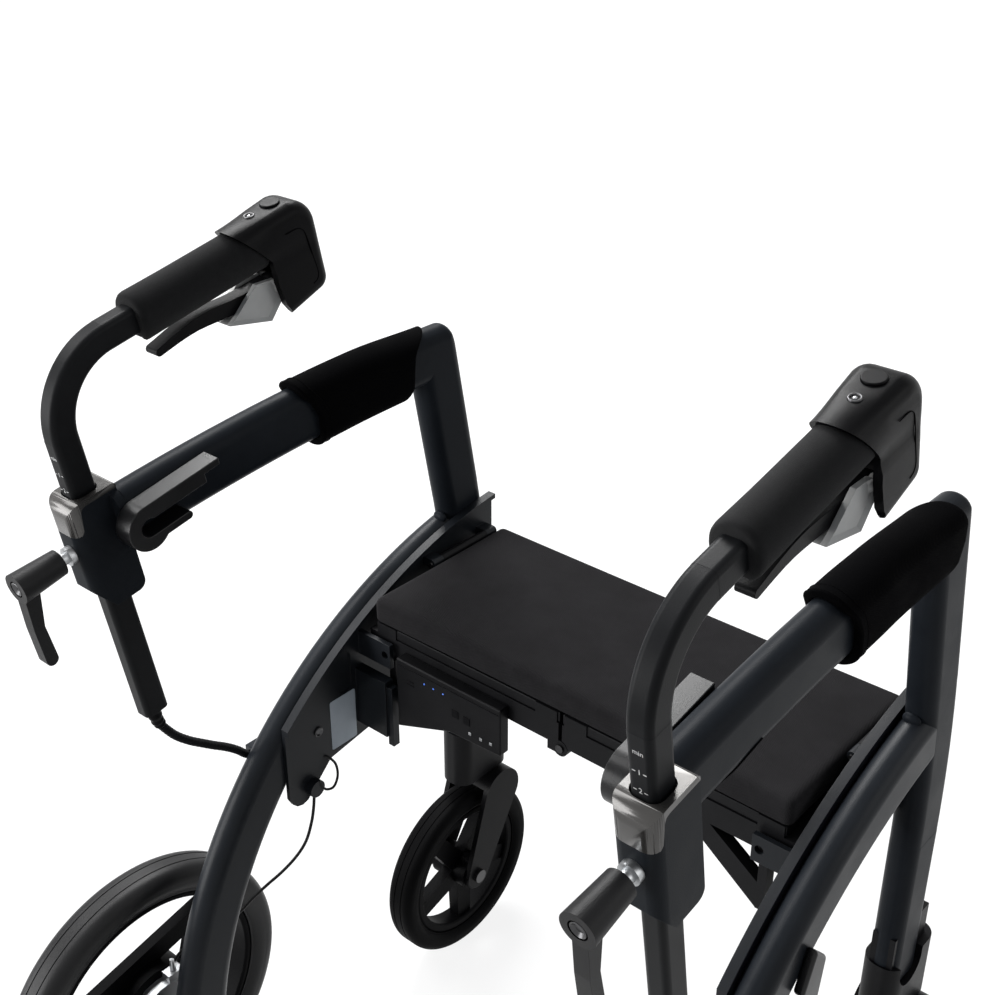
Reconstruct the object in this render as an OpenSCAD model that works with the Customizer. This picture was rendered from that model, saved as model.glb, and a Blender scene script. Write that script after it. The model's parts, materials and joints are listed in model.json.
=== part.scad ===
// Rollator transport chair: two side frames joined by a seat that folds up in the middle.
// Millimetres, +Z up, +Y the walking direction, +X to the right.
// Heights are above the floor; lengths along Y are worked out from the rear edge of the seat
// and moved at the end, so that the origin lies under the middle of the whole chair.

/* [Seat] */
// Width of the seat cushion
seat_w = 450; // [400:5:500]
// Depth of the seat cushion
seat_d = 185; // [170:1:215]
// Height of the seat top above the floor
seat_h = 550; // [535:1:570]
// Thickness of the cushion
cushion_t = 26; // [20:1:30]
// Rise of the cushion in the middle
cushion_crown = 3; // [0:0.5:6]
// How far the cushion's sides draw in between the corners
cushion_pull = 1.5; // [0:0.5:4]
// Height of the rails under the seat
seat_rail_h = 23; // [16:1:26]
// Depth of the rails under the seat
seat_rail_d = 20; // [16:1:24]
// Open gap between the rails and the cushion
seat_lift = 11; // [6:1:14]

/* [Side frame] */
// Width of the frame tube
tube_w = 28; // [24:1:30]
// Depth of the frame tube
tube_h = 54; // [48:1:58]
// Wall of the frame tube
tube_wall = 2.5; // [1.5:0.5:4]
// Gap between the cushion and the inner face of the tube
side_gap = 19; // [18:1:26]
// Radius of the curved side rail
rail_r = 459; // [440:1:500]
// Distance of the rail's lower end behind the seat's rear edge
rail_rear = 226.7; // [220:0.1:234]
// Height of the rail's middle line above the seat top, at the upright
rail_rise = 1.66; // [-4:0.01:6]
// Distance of the front upright in front of the seat's rear edge
upright_y = 166; // [160:1:172]
// Lean of the upright's top
upright_lean = 10.8; // [8:0.2:13]
// Radius of the upright's bend
upright_bend_r = 900; // [700:10:1000]
// Depth of the start of the bend below the seat top
upright_bend_drop = 122; // [110:1:130]
// Height of the arm's top above the seat top
arm_rise = 226; // [205:1:245]
// Radius of the arm's top edge
arm_r = 2240; // [1900:20:2800]
// Rounding of the frame's top front corner
corner_r = 12; // [6:1:18]
// Thickness of the arm pad
pad_t = 6.5; // [4:0.5:9]
// Length of the arm pad along its top
pad_len = 162; // [120:1:170]

/* [Handles] */
// Offset of the handle outside the frame tube
handle_offset = 12; // [10:1:15]
// Distance of the handle post behind the seat's rear edge
post_back = 262; // [250:1:275]
// Lean of the handle post
post_lean = 9.7; // [7:0.1:12]
// Length of the post below the clamp's top
post_low = 228; // [200:1:240]
// Height of the handle's corner above the clamp's top, along the post
post_high = 107.5; // [98:0.5:130]
// Bend radius of the handle
handle_bend_r = 61; // [50:1:66]
// Rise of the grip
grip_rise = 12; // [8:0.5:16]
// Width of the handle tube
htube_w = 18.5; // [17:0.5:21]
// Depth of the handle tube
htube_h = 23; // [21:0.5:26]
// Corner radius of the handle tube
htube_corner = 5; // [4:0.5:8]
// Wall of the handle tube
htube_wall = 2.5; // [1.5:0.5:3]
// Length of the grip
grip_len = 101; // [90:1:110]
// Width of the grip
grip_w = 36; // [33:1:39]
// Height of the grip
grip_h = 42; // [40:1:44]
// Width of the handle housing
housing_w = 44; // [42:1:48]
// Forward run of the sloping joint between grip and housing
collar_run = 28; // [22:1:30]
// Width of the brake lever
brake_w = 14; // [11:1:15]
// Radius of the brake pivot
brake_pin_r = 3; // [2:0.1:3.5]
// Radius of the push button
button_r = 8.5; // [6:0.5:10]

/* [Clamp] */
// Width of the clamp
clamp_w = 33; // [30:1:38]
// Depth of the clamp in front of the post
clamp_front = 22; // [20:1:28]
// Depth of the clamp behind the post
clamp_rear = 23; // [21:1:28]
// Height of the clamp with its cap
clamp_h = 103; // [95:1:112]
// Radius of the clamp stud
stud_r = 5; // [4:0.5:6]
// Bare length of the clamp stud
stud_bare = 12; // [8:1:18]
// Radius of the clamp lever's hub
hub_r = 13; // [11:0.5:15]
// Length of the clamp lever's hub
hub_len = 40; // [32:1:46]
// Length of the clamp lever's arm
clamp_arm = 72; // [60:1:82]

/* [Wheels] */
// Diameter of the rear wheel
rear_d = 304; // [290:1:320]
// Width of the rear tyre
rear_tyre_w = 41; // [34:1:46]
// Depth of the rear tyre
rear_tyre_t = 30; // [24:1:34]
// Gap between the rail and the rear tyre
rear_gap = 34.5; // [28:0.5:40]
// Distance of the rear axle behind the rail's middle line
axle_back = 10.3; // [6:0.1:14]
// Radius of the brake plate beside the rear wheel
brake_plate_r = 37; // [33:1:42]
// Radius of the rear axle
rear_axle_r = 6; // [5:0.5:8]
// Diameter of the front wheel
front_d = 206; // [190:1:215]
// Width of the front tyre
front_tyre_w = 34; // [28:1:38]
// Depth of the front tyre
front_tyre_t = 22; // [18:1:26]
// Radius of the front axle
front_axle_r = 5; // [4:0.5:6]
// Distance of the swivel axis in front of the upright
swivel_ahead = 24; // [20:1:28]
// Trail of the caster behind its swivel axis
caster_trail = 42; // [34:1:48]
// Radius of the caster's stem
stem_r = 8; // [6:0.5:10]
// Thickness of the fork's legs
fork_t = 6; // [4:0.5:8]
// Number of spokes in each front wheel
spokes = 5; // [4:1:7]

/* [Control box] */
// Gap between the control box and the latch
box_gap = 7; // [5:1:12]
// Distance of the control box from the middle of the seat
box_in = 58; // [48:1:66]
// Depth of the control box
box_d = 12; // [8:1:16]

/* [Fits] */
// Radial clearance of pins that turn
run_fit = 0.05; // [0.02:0.01:0.1]
// Clearance of parts that slide or pass each other
slide_fit = 0.3; // [0.2:0.05:0.5]
// Radius of the seat hinge pins
hinge_pin_r = 2.2; // [1.5:0.1:2.6]
// Radius of the centre hinge pin
centre_pin_r = 4; // [3:0.5:5]

/* [Hidden] */
$fn = 64;
far = 400;
// Bent lengths of a tube are drawn this much thinner and run this far into the straight ones
thin = 0.1;
lap = 2;
// Gap left at a coped end
weld_gap = 0.1;

// Planes across the chair
frame_x = seat_w / 2 + side_gap + tube_w / 2;
inner_x = frame_x - tube_w / 2;
outer_x = frame_x + tube_w / 2;
handle_x = frame_x + handle_offset;
rear_x = outer_x + rear_gap + rear_tyre_w / 2;

// Curved rail and rear axle
rear_r = rear_d / 2;
rail_end = [-rail_rear, rear_r];
rail_chord = [upright_y, seat_h + rail_rise] - rail_end;
rail_half = norm(rail_chord) / 2;
rail_c = rail_end + rail_chord / 2
  + sqrt(pow(rail_r, 2) - pow(rail_half, 2)) * [rail_chord[1], -rail_chord[0]] / norm(rail_chord);
rear_axle = rail_end - [axle_back, 0];
rail_a_rear = (atan2(rail_end[1] - rail_c[1], rail_end[0] - rail_c[0]) + 360) % 360;
grommet_y = -113;
grommet_z = rail_c[1] + sqrt(pow(rail_r, 2) - pow(grommet_y - rail_c[0], 2)) + 7;
rail_a_front = 94;
// Top of the block that holds the end of the brake cable
brake_end = rear_axle + [15, brake_plate_r + 7];
boss_r = tube_h / 2 + 2;
boss_side = 0.5;

// Front upright, arm and the mitre between them
bend_z = seat_h - upright_bend_drop;
bend_end = [upright_y - upright_bend_r * (1 - cos(upright_lean)), bend_z + upright_bend_r * sin(upright_lean)];
arm_top = seat_h + arm_rise;
mitre_z = arm_top - tube_h / 2;
mitre = [bend_end[0] - (mitre_z - bend_end[1]) * tan(upright_lean), mitre_z];
mitre_a = 45 + upright_lean / 2;
upright_len = (mitre_z - bend_end[1]) / cos(upright_lean) + tube_h;
arm_c = [mitre[0] - 21, arm_top - arm_r];
corner_c = mitre + (tube_h / 2 - corner_r) / sin(mitre_a) * [cos(mitre_a), sin(mitre_a)];
corner_tip = mitre + tube_h / 2 / sin(mitre_a) * [cos(mitre_a), sin(mitre_a)];

// Caster
front_r = front_d / 2;
swivel_y = upright_y + swivel_ahead;
front_axle = [swivel_y - caster_trail, front_r];
fork_gap = 7;
fork_in = front_tyre_w / 2 + fork_gap;
fork_out = fork_in + fork_t;
crown_low = front_d + 6;
crown_top = crown_low + 15;
head_low = crown_top + 0.5;
stem_top = head_low + 38;
upright_low = stem_top + 6;
head_top = upright_low + 24;
head_ears = head_top + 34;

// Handle post, corner and grip
post = [-post_back, arm_top - 26];
post_dir = [-sin(post_lean), cos(post_lean)];
grip_dir = [cos(grip_rise), sin(grip_rise)];
corner = post + post_high * post_dir;
bend_turn = 90 + post_lean - grip_rise;
bend_tan = handle_bend_r * tan(bend_turn / 2);
bend_start = corner - bend_tan * post_dir;
bend_c = bend_start + handle_bend_r * [cos(post_lean), sin(post_lean)];
grip_start = bend_tan + 26;
grip_end = grip_start + grip_len;
tube_in_housing = collar_run + 12;
collar_low = -12;
brake_pivot = [35.7, -39];
cheek_gap = brake_w + 14;

// Clamp: heights along the post from its top
clamp_top = 3;
cap_t = 5;
skirt = 29;
stud_drop = -45;
stud_len = stud_bare + hub_len * 0.7;

// Seat hinges
hinge_r = 4.5;
hinge_x = seat_w / 2 + 4;
hinge_z = seat_h - 4;
hinge_y0 = 84;
hinge_y1 = seat_d - 9;
hinge_ear = 14;
rail_top = seat_h - cushion_t - seat_lift;
rail_low = rail_top - seat_rail_h;
knuckle_r = 8;
centre_z = rail_low - 3;
half_gap = 2;
seat_edge_x = hinge_x + 2;

// Side plate
plate_t = 4;
plate_x = inner_x - plate_t;
flange_w = 9;
flange_t = 5;
plate_rear = -107;
plate_front = seat_d + 1;

// The whole chair is moved so that the origin is under its middle
y_shift = -((rear_axle[0] - rear_r) + (front_axle[0] + front_r)) / 2;

// Puts a piece drawn for the right side on its side, s = 1 right and s = -1 left
module placed(s) translate([0, y_shift, 0]) mirror([s < 0 ? 1 : 0, 0, 0]) children();

// A slab across the chair from a side view drawn in Y and Z
module side_slab(x, w) translate([x - w / 2, 0, 0]) rotate([90, 0, 90]) linear_extrude(w) children();

// A sweep about an axis across the chair; the section is drawn as radius and offset in X
module side_turn(x, c, a0, a1, n = 64) {
  translate([x, c[0], c[1]]) rotate([90, 0, 90]) rotate([0, 0, a0])
    rotate_extrude(angle = a1 - a0, $fn = n) children();
}

// A solid turned fully about an axis across the chair
module wheel_turn(x, c) translate([x, c[0], c[1]]) rotate([90, 0, 90]) rotate_extrude() children();

// A rod across the chair
module cross_rod(x0, x1, c, r) translate([x0, c[0], c[1]]) rotate([0, 90, 0]) cylinder(r = r, h = x1 - x0);

// A rod along the chair
module long_rod(y0, y1, x, z, r) translate([x, y1, z]) rotate([90, 0, 0]) cylinder(r = r, h = y1 - y0);

// A box from two corners
module block(p, q) translate(p) cube(q - p);

module stadium(l, w) {
  square([l - w, w], center = true);
  for (k = [-1, 1]) translate([k * (l - w) / 2, 0]) circle(d = w, $fn = 48);
}

module rounded(w, h, r) {
  square([w - 2 * r, h], center = true);
  square([w, h - 2 * r], center = true);
  for (i = [-1, 1], j = [-1, 1]) translate([i * (w / 2 - r), j * (h / 2 - r)]) circle(r, $fn = 48);
}

// Two circles joined by their outer tangents
module taper(p, r, q, s) {
  v = q - p;
  a = atan2(v[1], v[0]);
  b = acos((r - s) / norm(v));
  polygon([for (k = [[p, r, b], [q, s, b], [q, s, -b], [p, r, -b]])
    k[0] + k[1] * [cos(a + k[2]), sin(a + k[2])]]);
  translate(p) circle(r);
  translate(q) circle(s);
}

module frame_section(wall, less = 0) {
  difference() {
    stadium(tube_h - 2 * less, tube_w - 2 * less);
    stadium(tube_h - 2 * (wall - less), tube_w - 2 * (wall - less));
  }
}

module handle_section(grow) rounded(htube_w + 2 * grow, htube_h + 2 * grow, htube_corner + grow);

// Frame along the handle post: z up the post, y forward, from the clamp's top
module post_frame() translate([handle_x, post[0], post[1]]) rotate([post_lean, 0, 0]) children();

// Frame along the grip: y along the grip, z up, from the handle's corner
module grip_frame() translate([handle_x, corner[0], corner[1]]) rotate([grip_rise, 0, 0]) children();

// Frame of the housing, from the end of the grip
module housing_frame() grip_frame() translate([0, grip_end, 0]) children();

// Half plane on one side of the mitre, side = 1 for the arm and -1 for the upright
module mitre_half(side) {
  side_slab(frame_x, 3 * tube_w) translate(mitre) rotate(mitre_a)
    translate([-far, side > 0 ? 0 : -far]) square([2 * far, far]);
}

// What the rounding takes off the frame's top front corner
module corner_cut() {
  n = [cos(upright_lean), sin(upright_lean)];
  side_slab(frame_x, 3 * tube_w) difference() {
    polygon([corner_c, corner_c + [0, corner_r], corner_c + [0, 2 * corner_r],
      corner_tip + [corner_r, corner_r], corner_c + 2 * corner_r * n, corner_c + corner_r * n]);
    translate(corner_c) circle(corner_r);
  }
}

// Bent middle part of the upright, solid, a little larger than the tube
module upright_bend_room() {
  side_turn(frame_x, [upright_y - upright_bend_r, bend_z], 0, upright_lean, 720)
    translate([upright_bend_r, 0]) stadium(tube_h + 2 * weld_gap, tube_w + 2 * weld_gap);
}

module side_rail(s) {
  color("#3a424c") placed(s) difference() {
    union() {
      difference() {
        side_turn(frame_x, rail_c, rail_a_front, rail_a_rear, 360)
          translate([rail_r, 0]) frame_section(tube_wall);
        upright_bend_room();
        cross_rod(frame_x - tube_w, frame_x + tube_w, rail_end, boss_r - 1);
        side_slab(frame_x, 3 * tube_w) translate([bend_end[0], 0]) square([far, 2 * far]);
      }
      side_slab(frame_x, tube_w + 2 * boss_side) taper(rail_end, boss_r, rear_axle, boss_r - 4);
      block([outer_x - 1, grommet_y - 7, grommet_z - 8], [outer_x + 11, grommet_y + 7, grommet_z + 8]);
    }
    cross_rod(inner_x - 1, outer_x + 1, rear_axle, rear_axle_r);
  }
}

module front_upright(s) {
  color("#3a424c") placed(s) difference() {
    union() {
      translate([frame_x, upright_y, upright_low]) linear_extrude(bend_z - upright_low + lap)
        rotate(90) frame_section(tube_wall);
      side_turn(frame_x, [upright_y - upright_bend_r, bend_z], 0, upright_lean, 720)
        translate([upright_bend_r, 0]) frame_section(tube_wall, thin);
      translate([frame_x, bend_end[0], bend_end[1]]) rotate([upright_lean, 0, 0])
        translate([0, 0, -lap]) linear_extrude(upright_len) rotate(90) frame_section(tube_wall);
    }
    mitre_half(1);
    corner_cut();
  }
}

module arm_body(wall, grow, y0, y1) {
  r = arm_r - tube_h / 2;
  side_turn(frame_x, arm_c, 90 - asin((y1 - arm_c[0]) / r), 90 - asin((y0 - arm_c[0]) / r), 1440)
    translate([r, 0]) difference() {
      stadium(tube_h + 2 * grow, tube_w + 2 * grow);
      stadium(tube_h - 2 * wall, tube_w - 2 * wall);
    }
}

module arm_tube(s) {
  color("#3a424c") placed(s) difference() {
    arm_body(tube_wall, 0, -post_back, mitre[0] + tube_h);
    mitre_half(-1);
    corner_cut();
    post_frame() translate([-far / 2, clamp_front - far, -far / 2]) cube(far);
  }
}

module arm_pad(s) {
  front = mitre + [-13, 0];
  color("#15161a") placed(s) difference() {
    arm_body(0, pad_t, front[0] - pad_len, front[0] + tube_h);
    side_slab(frame_x, 3 * tube_w) translate(front) rotate(-20)
      translate([0, -far / 2]) square(far);
  }
}

module plate_outline() {
  intersection() {
    translate(rail_c) circle(rail_r + tube_h / 2, $fn = 360);
    polygon([[plate_rear, seat_h + 50], [plate_rear, seat_h - 184], [plate_rear + 4, seat_h - 192],
      [plate_rear + 9, seat_h - 197], [plate_rear + 16, seat_h - 199], [plate_rear + 23, seat_h - 197],
      [plate_rear + 55, seat_h - 166], [0, seat_h - 158],
      [70, seat_h - 125], [150, seat_h - 80], [plate_front, seat_h - 50], [plate_front, seat_h + 50]]);
  }
}

module side_plate(s) {
  ear_x = plate_x + 1;
  color("#17181b") placed(s) difference() {
    union() {
      side_slab(inner_x - plate_t / 2, plate_t) plate_outline();
      side_slab(inner_x - flange_w / 2, flange_w) difference() {
        plate_outline();
        translate(rail_c) circle(rail_r + tube_h / 2 - flange_t, $fn = 360);
      }
      for (y = [hinge_y0, hinge_y1 - hinge_ear]) {
        long_rod(y, y + hinge_ear, hinge_x, hinge_z, hinge_r);
        block([hinge_x, y, hinge_z - hinge_r], [ear_x, y + hinge_ear, hinge_z + hinge_r]);
      }
      difference() {
        block([plate_x - 42, -8, seat_h - 66], [ear_x, -3, seat_h - 40]);
        long_rod(-9, -2, plate_x - 35, seat_h - 53, 4);
      }
      if (s < 0) latch_block(ear_x);
      translate([plate_x - 8, -78, seat_h - 184]) rotate([0, 90, 0]) cylinder(r = 9, h = 9);
    }
    long_rod(hinge_y0 - 1, hinge_y1 + 1, hinge_x, hinge_z, hinge_pin_r);
    side_slab(plate_x, 3) taper([-29, seat_h - 92], 9, [-26, seat_h - 62], 6);
  }
}

// Latch beside the control box
module latch_block(x) {
  block([plate_x - 40, -14, seat_h - 143], [x, -3, seat_h - 80]);
  block([plate_x - 47, -12, seat_h - 152], [plate_x - 40, -4, seat_h - 85]);
}

// Points along an arc
function arc(c, r, a0, a1, n = 12) = [for (i = [0:n]) c + r * [cos(a0 + (a1 - a0) * i / n), sin(a0 + (a1 - a0) * i / n)]];

// Side view of the clamp with its cap, along the post
module clamp_outline() {
  low = clamp_top - clamp_h;
  shoulder = 13;
  polygon(concat(arc([shoulder - clamp_rear, clamp_top - shoulder], shoulder, 180, 90),
    arc([clamp_front - 3, clamp_top - 3], 3, 90, 0, 6), arc([clamp_front - 8, low + 8], 8, 0, -90),
    [[-clamp_rear * 0.35, low], [-clamp_rear, low + 21]]));
}

// Part of that side view that the cap takes
module cap_outline() {
  polygon([[clamp_front + 1, clamp_top - cap_t], [-8, clamp_top - cap_t], [-11, clamp_top - cap_t - 1],
    [-13, clamp_top - cap_t - 4], [-15, clamp_top - skirt + 4], [-17, clamp_top - skirt + 1],
    [-20, clamp_top - skirt], [-clamp_rear - 1, clamp_top - skirt], [-clamp_rear - 1, clamp_top + 1],
    [clamp_front + 1, clamp_top + 1]]);
}

// Section across the clamp, round at the rear
module clamp_section() {
  translate([0, (clamp_front - clamp_rear) / 2]) rounded(clamp_w, clamp_front + clamp_rear, 10);
  translate([-clamp_w / 2, 0]) square([clamp_w, clamp_front]);
}

module across_post(w) translate([-w / 2, 0, 0]) rotate([90, 0, 90]) linear_extrude(w) children();

module handle_clamp(s) {
  color("#3a424c") placed(s) post_frame() difference() {
    union() {
      intersection() {
        across_post(clamp_w) difference() {
          clamp_outline();
          cap_outline();
        }
        translate([0, 0, -far / 2]) linear_extrude(far) clamp_section();
      }
      // Plate that closes the end of the arm
      translate([-handle_offset, clamp_front, -31]) rotate([90, 0, 0]) linear_extrude(8)
        rotate(90) stadium(tube_h, tube_w);
    }
    translate([0, 0, -far / 2]) linear_extrude(far) handle_section(slide_fit);
    translate([0, -htube_h / 2, stud_drop]) rotate([90, 0, 0]) cylinder(r = stud_r, h = far);
  }
}

module clamp_cap(s) {
  color("#1b1c1f") placed(s) post_frame() difference() {
    intersection() {
      across_post(clamp_w) intersection() {
        clamp_outline();
        cap_outline();
      }
      translate([0, 0, -far / 2]) linear_extrude(far) clamp_section();
    }
    translate([0, 0, -far / 2]) linear_extrude(far) rounded(htube_w + 5, htube_h + 2, htube_corner + 3);
  }
}

module clamp_stud(s) {
  color("silver") placed(s) post_frame() {
    translate([0, -htube_h / 2 - 2, stud_drop]) rotate([90, 0, 0])
      cylinder(r = stud_r, h = clamp_rear - htube_h / 2 - 2 + stud_len);
    translate([0, -clamp_rear, stud_drop]) rotate([90, 0, 0]) cylinder(r = stud_r + 3, h = 5);
  }
}

module clamp_lever(s) {
  hub_start = -clamp_rear - stud_bare;
  hub_end = hub_start - hub_len;
  arm_y = hub_end + 9;
  color("#202124") placed(s) post_frame() translate([0, 0, stud_drop]) difference() {
    union() {
      translate([0, hub_start, 0]) rotate([90, 0, 0]) cylinder(r1 = hub_r - 2, r2 = hub_r, h = hub_len);
      rotate([90, 0, 90]) translate([0, 0, -hub_r * 0.45]) linear_extrude(hub_r * 0.9) {
        taper([arm_y, 0], 7.5, [arm_y - 5, -clamp_arm * 0.55], 4.8);
        taper([arm_y - 5, -clamp_arm * 0.55], 4.8, [arm_y - 4, -clamp_arm], 5.4);
      }
    }
    translate([0, hub_start + 1, 0]) rotate([90, 0, 0]) cylinder(r = stud_r + run_fit, h = hub_len * 0.75 + 1);
    translate([0, hub_end + 4, 0]) rotate([90, 0, 0]) cylinder(r = hub_r * 0.55, h = 6);
  }
}

module handle_ring(less = 0) {
  in = htube_wall - less;
  difference() {
    handle_section(-less);
    rounded(htube_w - 2 * in, htube_h - 2 * in, htube_corner - in);
  }
}

module handle_tube(s) {
  color("#2c3138") placed(s) {
    post_frame() translate([0, 0, -post_low]) linear_extrude(post_low + post_high - bend_tan + lap)
      handle_ring();
    side_turn(handle_x, bend_c, 90 + grip_rise, 180 + post_lean, 128)
      translate([handle_bend_r, 0]) rotate(90) handle_ring(thin);
    grip_frame() translate([0, bend_tan - lap, 0]) rotate([-90, 0, 0])
      linear_extrude(grip_end + tube_in_housing - bend_tan + lap) handle_ring();
  }
}

// Side view of the space ahead of the joint between grip and housing
module collar_room() {
  polygon([[0, grip_h / 2 + 3], [collar_run, collar_low], [collar_run - 0.5, collar_low - 20],
    [far, collar_low - 20], [far, far], [0, far]]);
}

module hand_grip(s) {
  slot_w = brake_w + 3;
  reach = grip_len + collar_run;
  color("#131417") placed(s) grip_frame() difference() {
    translate([0, grip_start, 0]) rotate([-90, 0, 0]) linear_extrude(reach)
      rounded(grip_w, grip_h, grip_w / 2 - 1);
    translate([0, grip_start - 1, 0]) rotate([-90, 0, 0]) linear_extrude(reach + 2) handle_section(0);
    translate([-slot_w / 2, grip_start - 1, -grip_h]) cube([slot_w, reach + 2, grip_h - htube_h / 2 + 2]);
    translate([-far / 2, grip_end, 0]) rotate([90, 0, 90]) linear_extrude(far) collar_room();
  }
}

// Side view of the housing, from the grip's end
module housing_outline() {
  nose = [59, 2];
  chin = [70, -48];
  heel = [40, -59];
  taper(nose, 23, chin, 12);
  taper(chin, 12, heel, 6);
  polygon([[0, grip_h / 2 + 3], [59, 25], nose, chin, heel, [34.3, -60.5], [30, -52],
    [collar_run - 0.5, collar_low - 20], [collar_run, collar_low]]);
}

module housing_button(s) {
  color("#26272b") placed(s) housing_frame() translate([0, 53, grip_h / 2 + 1])
    cylinder(r = button_r, h = 4.6);
}

module handle_housing(s) {
  top = grip_h / 2 + 4;
  color("#1d1e22") placed(s) housing_frame() {
    difference() {
      intersection() {
        translate([-housing_w / 2, 0, 0]) rotate([90, 0, 90]) linear_extrude(housing_w) housing_outline();
        translate([0, -1, top - 70]) rotate([-90, 0, 0]) linear_extrude(far) rounded(housing_w, 140, 14);
        translate([0, 1, -far / 2]) linear_extrude(far) rounded(housing_w, 170, 15);
      }
      translate([0, -1, 0]) rotate([-90, 0, 0]) linear_extrude(tube_in_housing + 1) handle_section(0);
      translate([-cheek_gap / 2, -1, -far]) cube([cheek_gap, 51, far - htube_h / 2 - 4]);
      translate([0, 53, grip_h / 2 - 1]) cylinder(r = button_r + slide_fit, h = far);
    }
    cross_rod(-cheek_gap / 2 - 3, cheek_gap / 2 + 3, brake_pivot, brake_pin_r);
  }
}

module brake_lever(s) {
  color("#16171a") placed(s) housing_frame() difference() {
    translate([-brake_w / 2, 0, 0]) rotate([90, 0, 90]) linear_extrude(brake_w) {
      polygon([[30.5, -31], [12, -30.6], [-3, -30], [-14, -28.9], [-24, -27.4], [-33, -26.3], [-43, -25.9],
        [-53, -26.2], [-63, -27.2], [-74, -28.9], [-83, -30.5], [-89, -31.4], [-89, -38.6], [-80, -37.8],
        [-70, -37], [-60, -36.6], [-50, -36.8], [-40, -37.9], [-28, -39.7], [-15, -41.7], [0, -43.8],
        [16, -45.6], [31, -47]]);
      translate(brake_pivot) circle(8);
      translate([-89, -35]) circle(3.6);
    }
    cross_rod(-brake_w, brake_w, brake_pivot, brake_pin_r + run_fit);
  }
}

module parking_catch(s) {
  wing_t = 4.5;
  wing_x = brake_w / 2 + 1;
  color("#8d8f92") placed(s) housing_frame() {
    for (k = [0, 1]) mirror([k, 0, 0]) difference() {
      translate([wing_x, 0, 0]) rotate([90, 0, 90]) linear_extrude(wing_t) {
        polygon([[30, -29.5], [38, -46], [17.4, -62.7], [-24.3, -45.5], [-14, -41], [11, -25.5]]);
        translate(brake_pivot) circle(7.5);
      }
      cross_rod(0, far, brake_pivot, brake_pin_r + run_fit);
    }
    translate([-wing_x, 0, 0]) rotate([90, 0, 90]) linear_extrude(2 * wing_x)
      polygon([[-24.3, -45.5], [17.4, -62.7], [17.4, -57], [-18, -44.6]]);
  }
}

// Hook on the arm's inner side, open towards the front
module arm_clip(s) {
  clip_w = 18;
  color("#1a1b1e") placed(s) {
    translate([0, -post_back + 30, arm_top - 54]) rotate([11, 0, 0])
      side_slab(inner_x - clip_w / 2, clip_w) difference() {
        union() {
          circle(20);
          translate([0, 0]) square([76, 20]);
          translate([0, -15]) square([36, 7]);
          translate([36, -11.5]) circle(3.5);
        }
        translate([0, 0]) circle(8);
        translate([0, -8]) square([90, 14]);
        translate([60, 4]) square([20, 10]);
      }
  }
}

module caster_head(s) {
  head_w = tube_w + 10;
  head_d = tube_h + 24;
  mid_y = upright_y + swivel_ahead * 0.42;
  color("#1a1b1e") placed(s) difference() {
    union() {
      translate([frame_x, mid_y, head_low]) linear_extrude(head_top - head_low)
        rounded(head_w, head_d, 16);
      for (y = [mid_y - head_d / 2 + 3, upright_y + tube_h / 2 - 9])
        block([frame_x - tube_w / 2 + 3, y, head_top - 1], [frame_x + tube_w / 2 - 3, y + 20, head_ears]);
    }
    translate([frame_x, upright_y, upright_low]) linear_extrude(far)
      rotate(90) stadium(tube_h + 2 * weld_gap, tube_w + 2 * weld_gap);
    translate([frame_x, swivel_y, head_low - 1])
      cylinder(r = stem_r + run_fit, h = stem_top - head_low + 1.5);
    side_slab(outer_x + head_w / 2 - 3, head_w) {
      translate([upright_y, upright_low + 15]) circle(tube_h * 0.36);
      translate([upright_y - tube_h * 0.36, upright_low + 15]) square([tube_h * 0.72, far]);
    }
  }
}

module caster_fork(s) {
  shoulder_r = 28;
  shoulder = [swivel_y, crown_top - shoulder_r];
  color("#191a1d") placed(s) difference() {
    union() {
      for (k = [-1, 1]) side_slab(frame_x + k * (fork_in + fork_t / 2), fork_t)
        taper(shoulder, shoulder_r, front_axle, 17);
      side_slab(frame_x, 2 * fork_in + 1) intersection() {
        translate(shoulder) circle(shoulder_r);
        translate([0, crown_low]) square([far, far]);
      }
      translate([frame_x, swivel_y, crown_low + 2]) cylinder(r = stem_r + 9, h = crown_top - crown_low - 2);
      translate([frame_x, swivel_y, crown_low + 2]) cylinder(r = stem_r, h = stem_top - crown_low - 2);
    }
    cross_rod(frame_x - far / 2, frame_x + far / 2, front_axle, front_axle_r);
  }
}

module front_wheel(s) {
  rim = front_r - front_tyre_t;
  hub_half = fork_in - 0.5;
  color("#141518") placed(s) difference() {
    union() {
      wheel_turn(frame_x, front_axle) {
        translate([rim - 5, 0]) rounded(10, front_tyre_w - 10, 3);
        translate([7, -hub_half]) square([13, 2 * hub_half]);
        translate([0, -hub_half]) square([8, 2 * hub_half]);
      }
      for (i = [0:spokes - 1]) side_slab(frame_x, 14) translate(front_axle) rotate(54 + 360 * i / spokes)
        taper([17, 0], 12, [rim - 10, 0], 10);
    }
    cross_rod(frame_x - far / 2, frame_x + far / 2, front_axle, front_axle_r + run_fit);
  }
}

module tyre(x, c, r, w, t) {
  wheel_turn(x, c) difference() {
    translate([r - t, 0]) {
      translate([t / 2, 0]) rounded(t, w, min(t / 2, w / 2) - 2);
      translate([0, -w * 0.36]) square([t / 2, w * 0.72]);
    }
    for (k = [-1, 1]) translate([r, k * w * 0.14]) circle(r = 0.8, $fn = 24);
  }
}

module front_tyre(s) color("#1c1d20") placed(s) tyre(frame_x, front_axle, front_r, front_tyre_w, front_tyre_t);

module front_axle_bolt(s) {
  color("silver") placed(s) {
    cross_rod(frame_x - fork_out, frame_x + fork_out, front_axle, front_axle_r);
    for (k = [-1, 1]) cross_rod(frame_x + k * (fork_out + 2) - 2, frame_x + k * (fork_out + 2) + 2, front_axle, 8);
  }
}

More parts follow.
